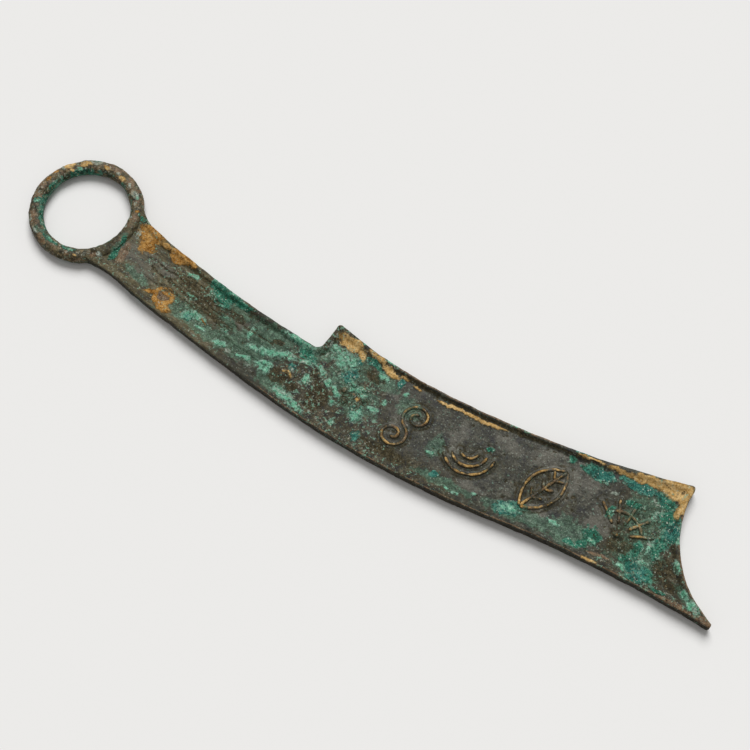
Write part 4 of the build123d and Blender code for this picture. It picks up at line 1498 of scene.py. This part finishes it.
def laid_over(tree, name, colour, rough, thick):
    """One layer over the colour, the roughness and the thickness of what lies below it."""
    grain, fray, bite, cover, own_rough, rise = LAYERS[name]
    mask = attribute(tree, name)
    if name == "tan":
        mask = sum_of(tree, "MAXIMUM", mask, attribute(tree, "worn"))
    inputs = {"Mask": mask, "Grain": fray, "Bite": bite, "Soft": SOFTNESS[name]}
    edge_parts = use_group(tree, ragged_edge, inputs)
    tones = mottled(tree, name, grain)
    if name == "earth":
        tones = blended(tree, attribute(tree, "warm"), tones, mottled(tree, "orange", grain))
    if name == "green":
        tones = blended(tree, attribute(tree, "blue"), tones, mottled(tree, "teal", grain))
    covered = sum_of(tree, "MULTIPLY", edge_parts["Mask"], cover)
    gaps = noise_at(tree, millimetres(tree, shift=61.0 + 100 * rise), 0.9, 4.0, 0.7)
    whole = between(tree, gaps, GAPS[name] - 0.15, GAPS[name] + 0.05)
    covered = sum_of(tree, "MULTIPLY", covered, whole)
    colour = blended(tree, covered, colour, tones)
    # A whitish painted highlight along the border of green and pale crust, and a darker rim on
    # earth.
    if name in BORDERS:
        border_colour, strength = BORDERS[name]
        spots = noise_at(tree, millimetres(tree, shift=7.0), 0.7, 4.0, 0.7)
        border = sum_of(tree, "MULTIPLY", edge_parts["Border"], between(tree, spots, 0.42, 0.6))
        border = sum_of(tree, "MULTIPLY", border, strength)
        colour = blended(tree, border, colour, paint(*border_colour))
    change = sum_of(tree, "SUBTRACT", own_rough, rough)
    rough = sum_of(tree, "MULTIPLY_ADD", change, covered, rough)
    thick = sum_of(tree, "MULTIPLY_ADD", edge_parts["Mask"], rise, thick)
    return colour, rough, thick


def crumbs_over(tree, colour, salt):
    """Flecks, dark grains and light grains that are painted glints; salt is the share of green
    ones.
    """
    amount = attribute(tree, "flecks")
    for shift, share, tone in (
        (3.0, salt, (124, 164, 142)), (11.0, 1.4 - salt, (132, 116, 90)),
        (19.0, 0.6, (170, 172, 158)),
        (27.0, 0.9, (40, 36, 28)),
    ):
        inputs = {"Amount": sum_of(tree, "MULTIPLY", amount, share), "Grain": 0.75, "Shift": shift}
        mask = use_group(tree, flecks, inputs)["Mask"]
        colour = blended(tree, sum_of(tree, "MULTIPLY", mask, 0.6), colour, paint(*tone))
    # Light grains are painted glints, more of them on green and pale crust; dark grains are grit.
    grains = use_group(tree, grit_and_glints, {"Grain": 0.36, "Share": 0.13})
    crust = sum_of(tree, "MAXIMUM", attribute(tree, "green"), attribute(tree, "pale"))
    light = sum_of(tree, "MULTIPLY_ADD", crust, 0.4, 0.16)
    light = sum_of(tree, "MULTIPLY", grains["Light"], light)
    colour = blended(tree, light, colour, paint(198, 208, 192))
    dark = sum_of(tree, "MULTIPLY", grains["Dark"], 0.45)
    return blended(tree, dark, colour, paint(44, 40, 32))


def excavated_bronze(name, grain=2.4, stretch=(1.0, 1.0, 1.0), skin_grain=0.7, salt=0.9):
    """Bronze from the ground, with every layer of its patina."""
    material = bpy.data.materials.new(name)
    shader = principled(material)
    tree = material.node_tree
    colour = bare_patina(tree, grain, stretch)
    rough = sum_of(tree, "MULTIPLY_ADD", attribute(tree, "sheen"), -0.16, 0.6)
    thick = 0.0
    for layer in LAYERS:
        colour, rough, thick = laid_over(tree, layer, colour, rough, thick)
    colour = crumbs_over(tree, colour, salt)
    # The deep tint lays dark brown on walls facing -y and under the ring's bar: painted shade.
    deep = sum_of(tree, "MULTIPLY", attribute(tree, "deep"), 0.6)
    colour = blended(tree, deep, colour, paint(*SHADE_BROWN))
    crust = sum_of(tree, "MULTIPLY", thick, 12.0)
    fine = use_group(tree, rough_skin, {"Grain": skin_grain, "Crust": crust})["Height"]
    height = sum_of(tree, "ADD", fine, thick)
    bump = add_node(tree, "Bump", {"Height": height, "Strength": 1.0, "Distance": MM})
    tree.links.new(colour, shader.inputs["Base Color"])
    tree.links.new(rough, shader.inputs["Roughness"])
    tree.links.new(bump.outputs["Normal"], shader.inputs["Normal"])
    shader.inputs["Specular IOR Level"].default_value = 0.22
    return material


# %% Materials of the pieces
along_grip = (0.3, 1.0, 1.0)
blade_bronze = excavated_bronze("blade_bronze")
grip_bronze = excavated_bronze("grip_bronze", stretch=along_grip)
ring_bronze = excavated_bronze("ring_bronze", grain=1.5, skin_grain=0.9, salt=0.45)
relief_bronze = excavated_bronze("relief_bronze", grain=1.5, skin_grain=0.5)
finishes = {blade: blade_bronze, grip: grip_bronze, ring: ring_bronze}
finishes.update({piece: relief_bronze for piece in reliefs.values()})
for piece, material in finishes.items():
    piece.data.materials.append(material)
print("materials:", sorted({material.name for material in finishes.values()}))

# %% [markdown]
# Last, every piece is tied to the CAD model: it rides on the body that it moves with, and
# hides the CAD nodes that it replaces.

# %% Tie the pieces to the CAD model
for piece in (blade, grip, ring):
    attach(piece, "root")
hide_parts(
    "blade_plate", "blade_back_rim", "blade_edge_rim", "blade_end_rim", "blade_point",
    "shoulder_rim",
)
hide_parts("grip_plate", "grip_back_rim", "grip_edge_rim", "ring_neck")
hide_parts("suspension_ring")
for node, piece in reliefs.items():
    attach(piece, "root")
    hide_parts(node)
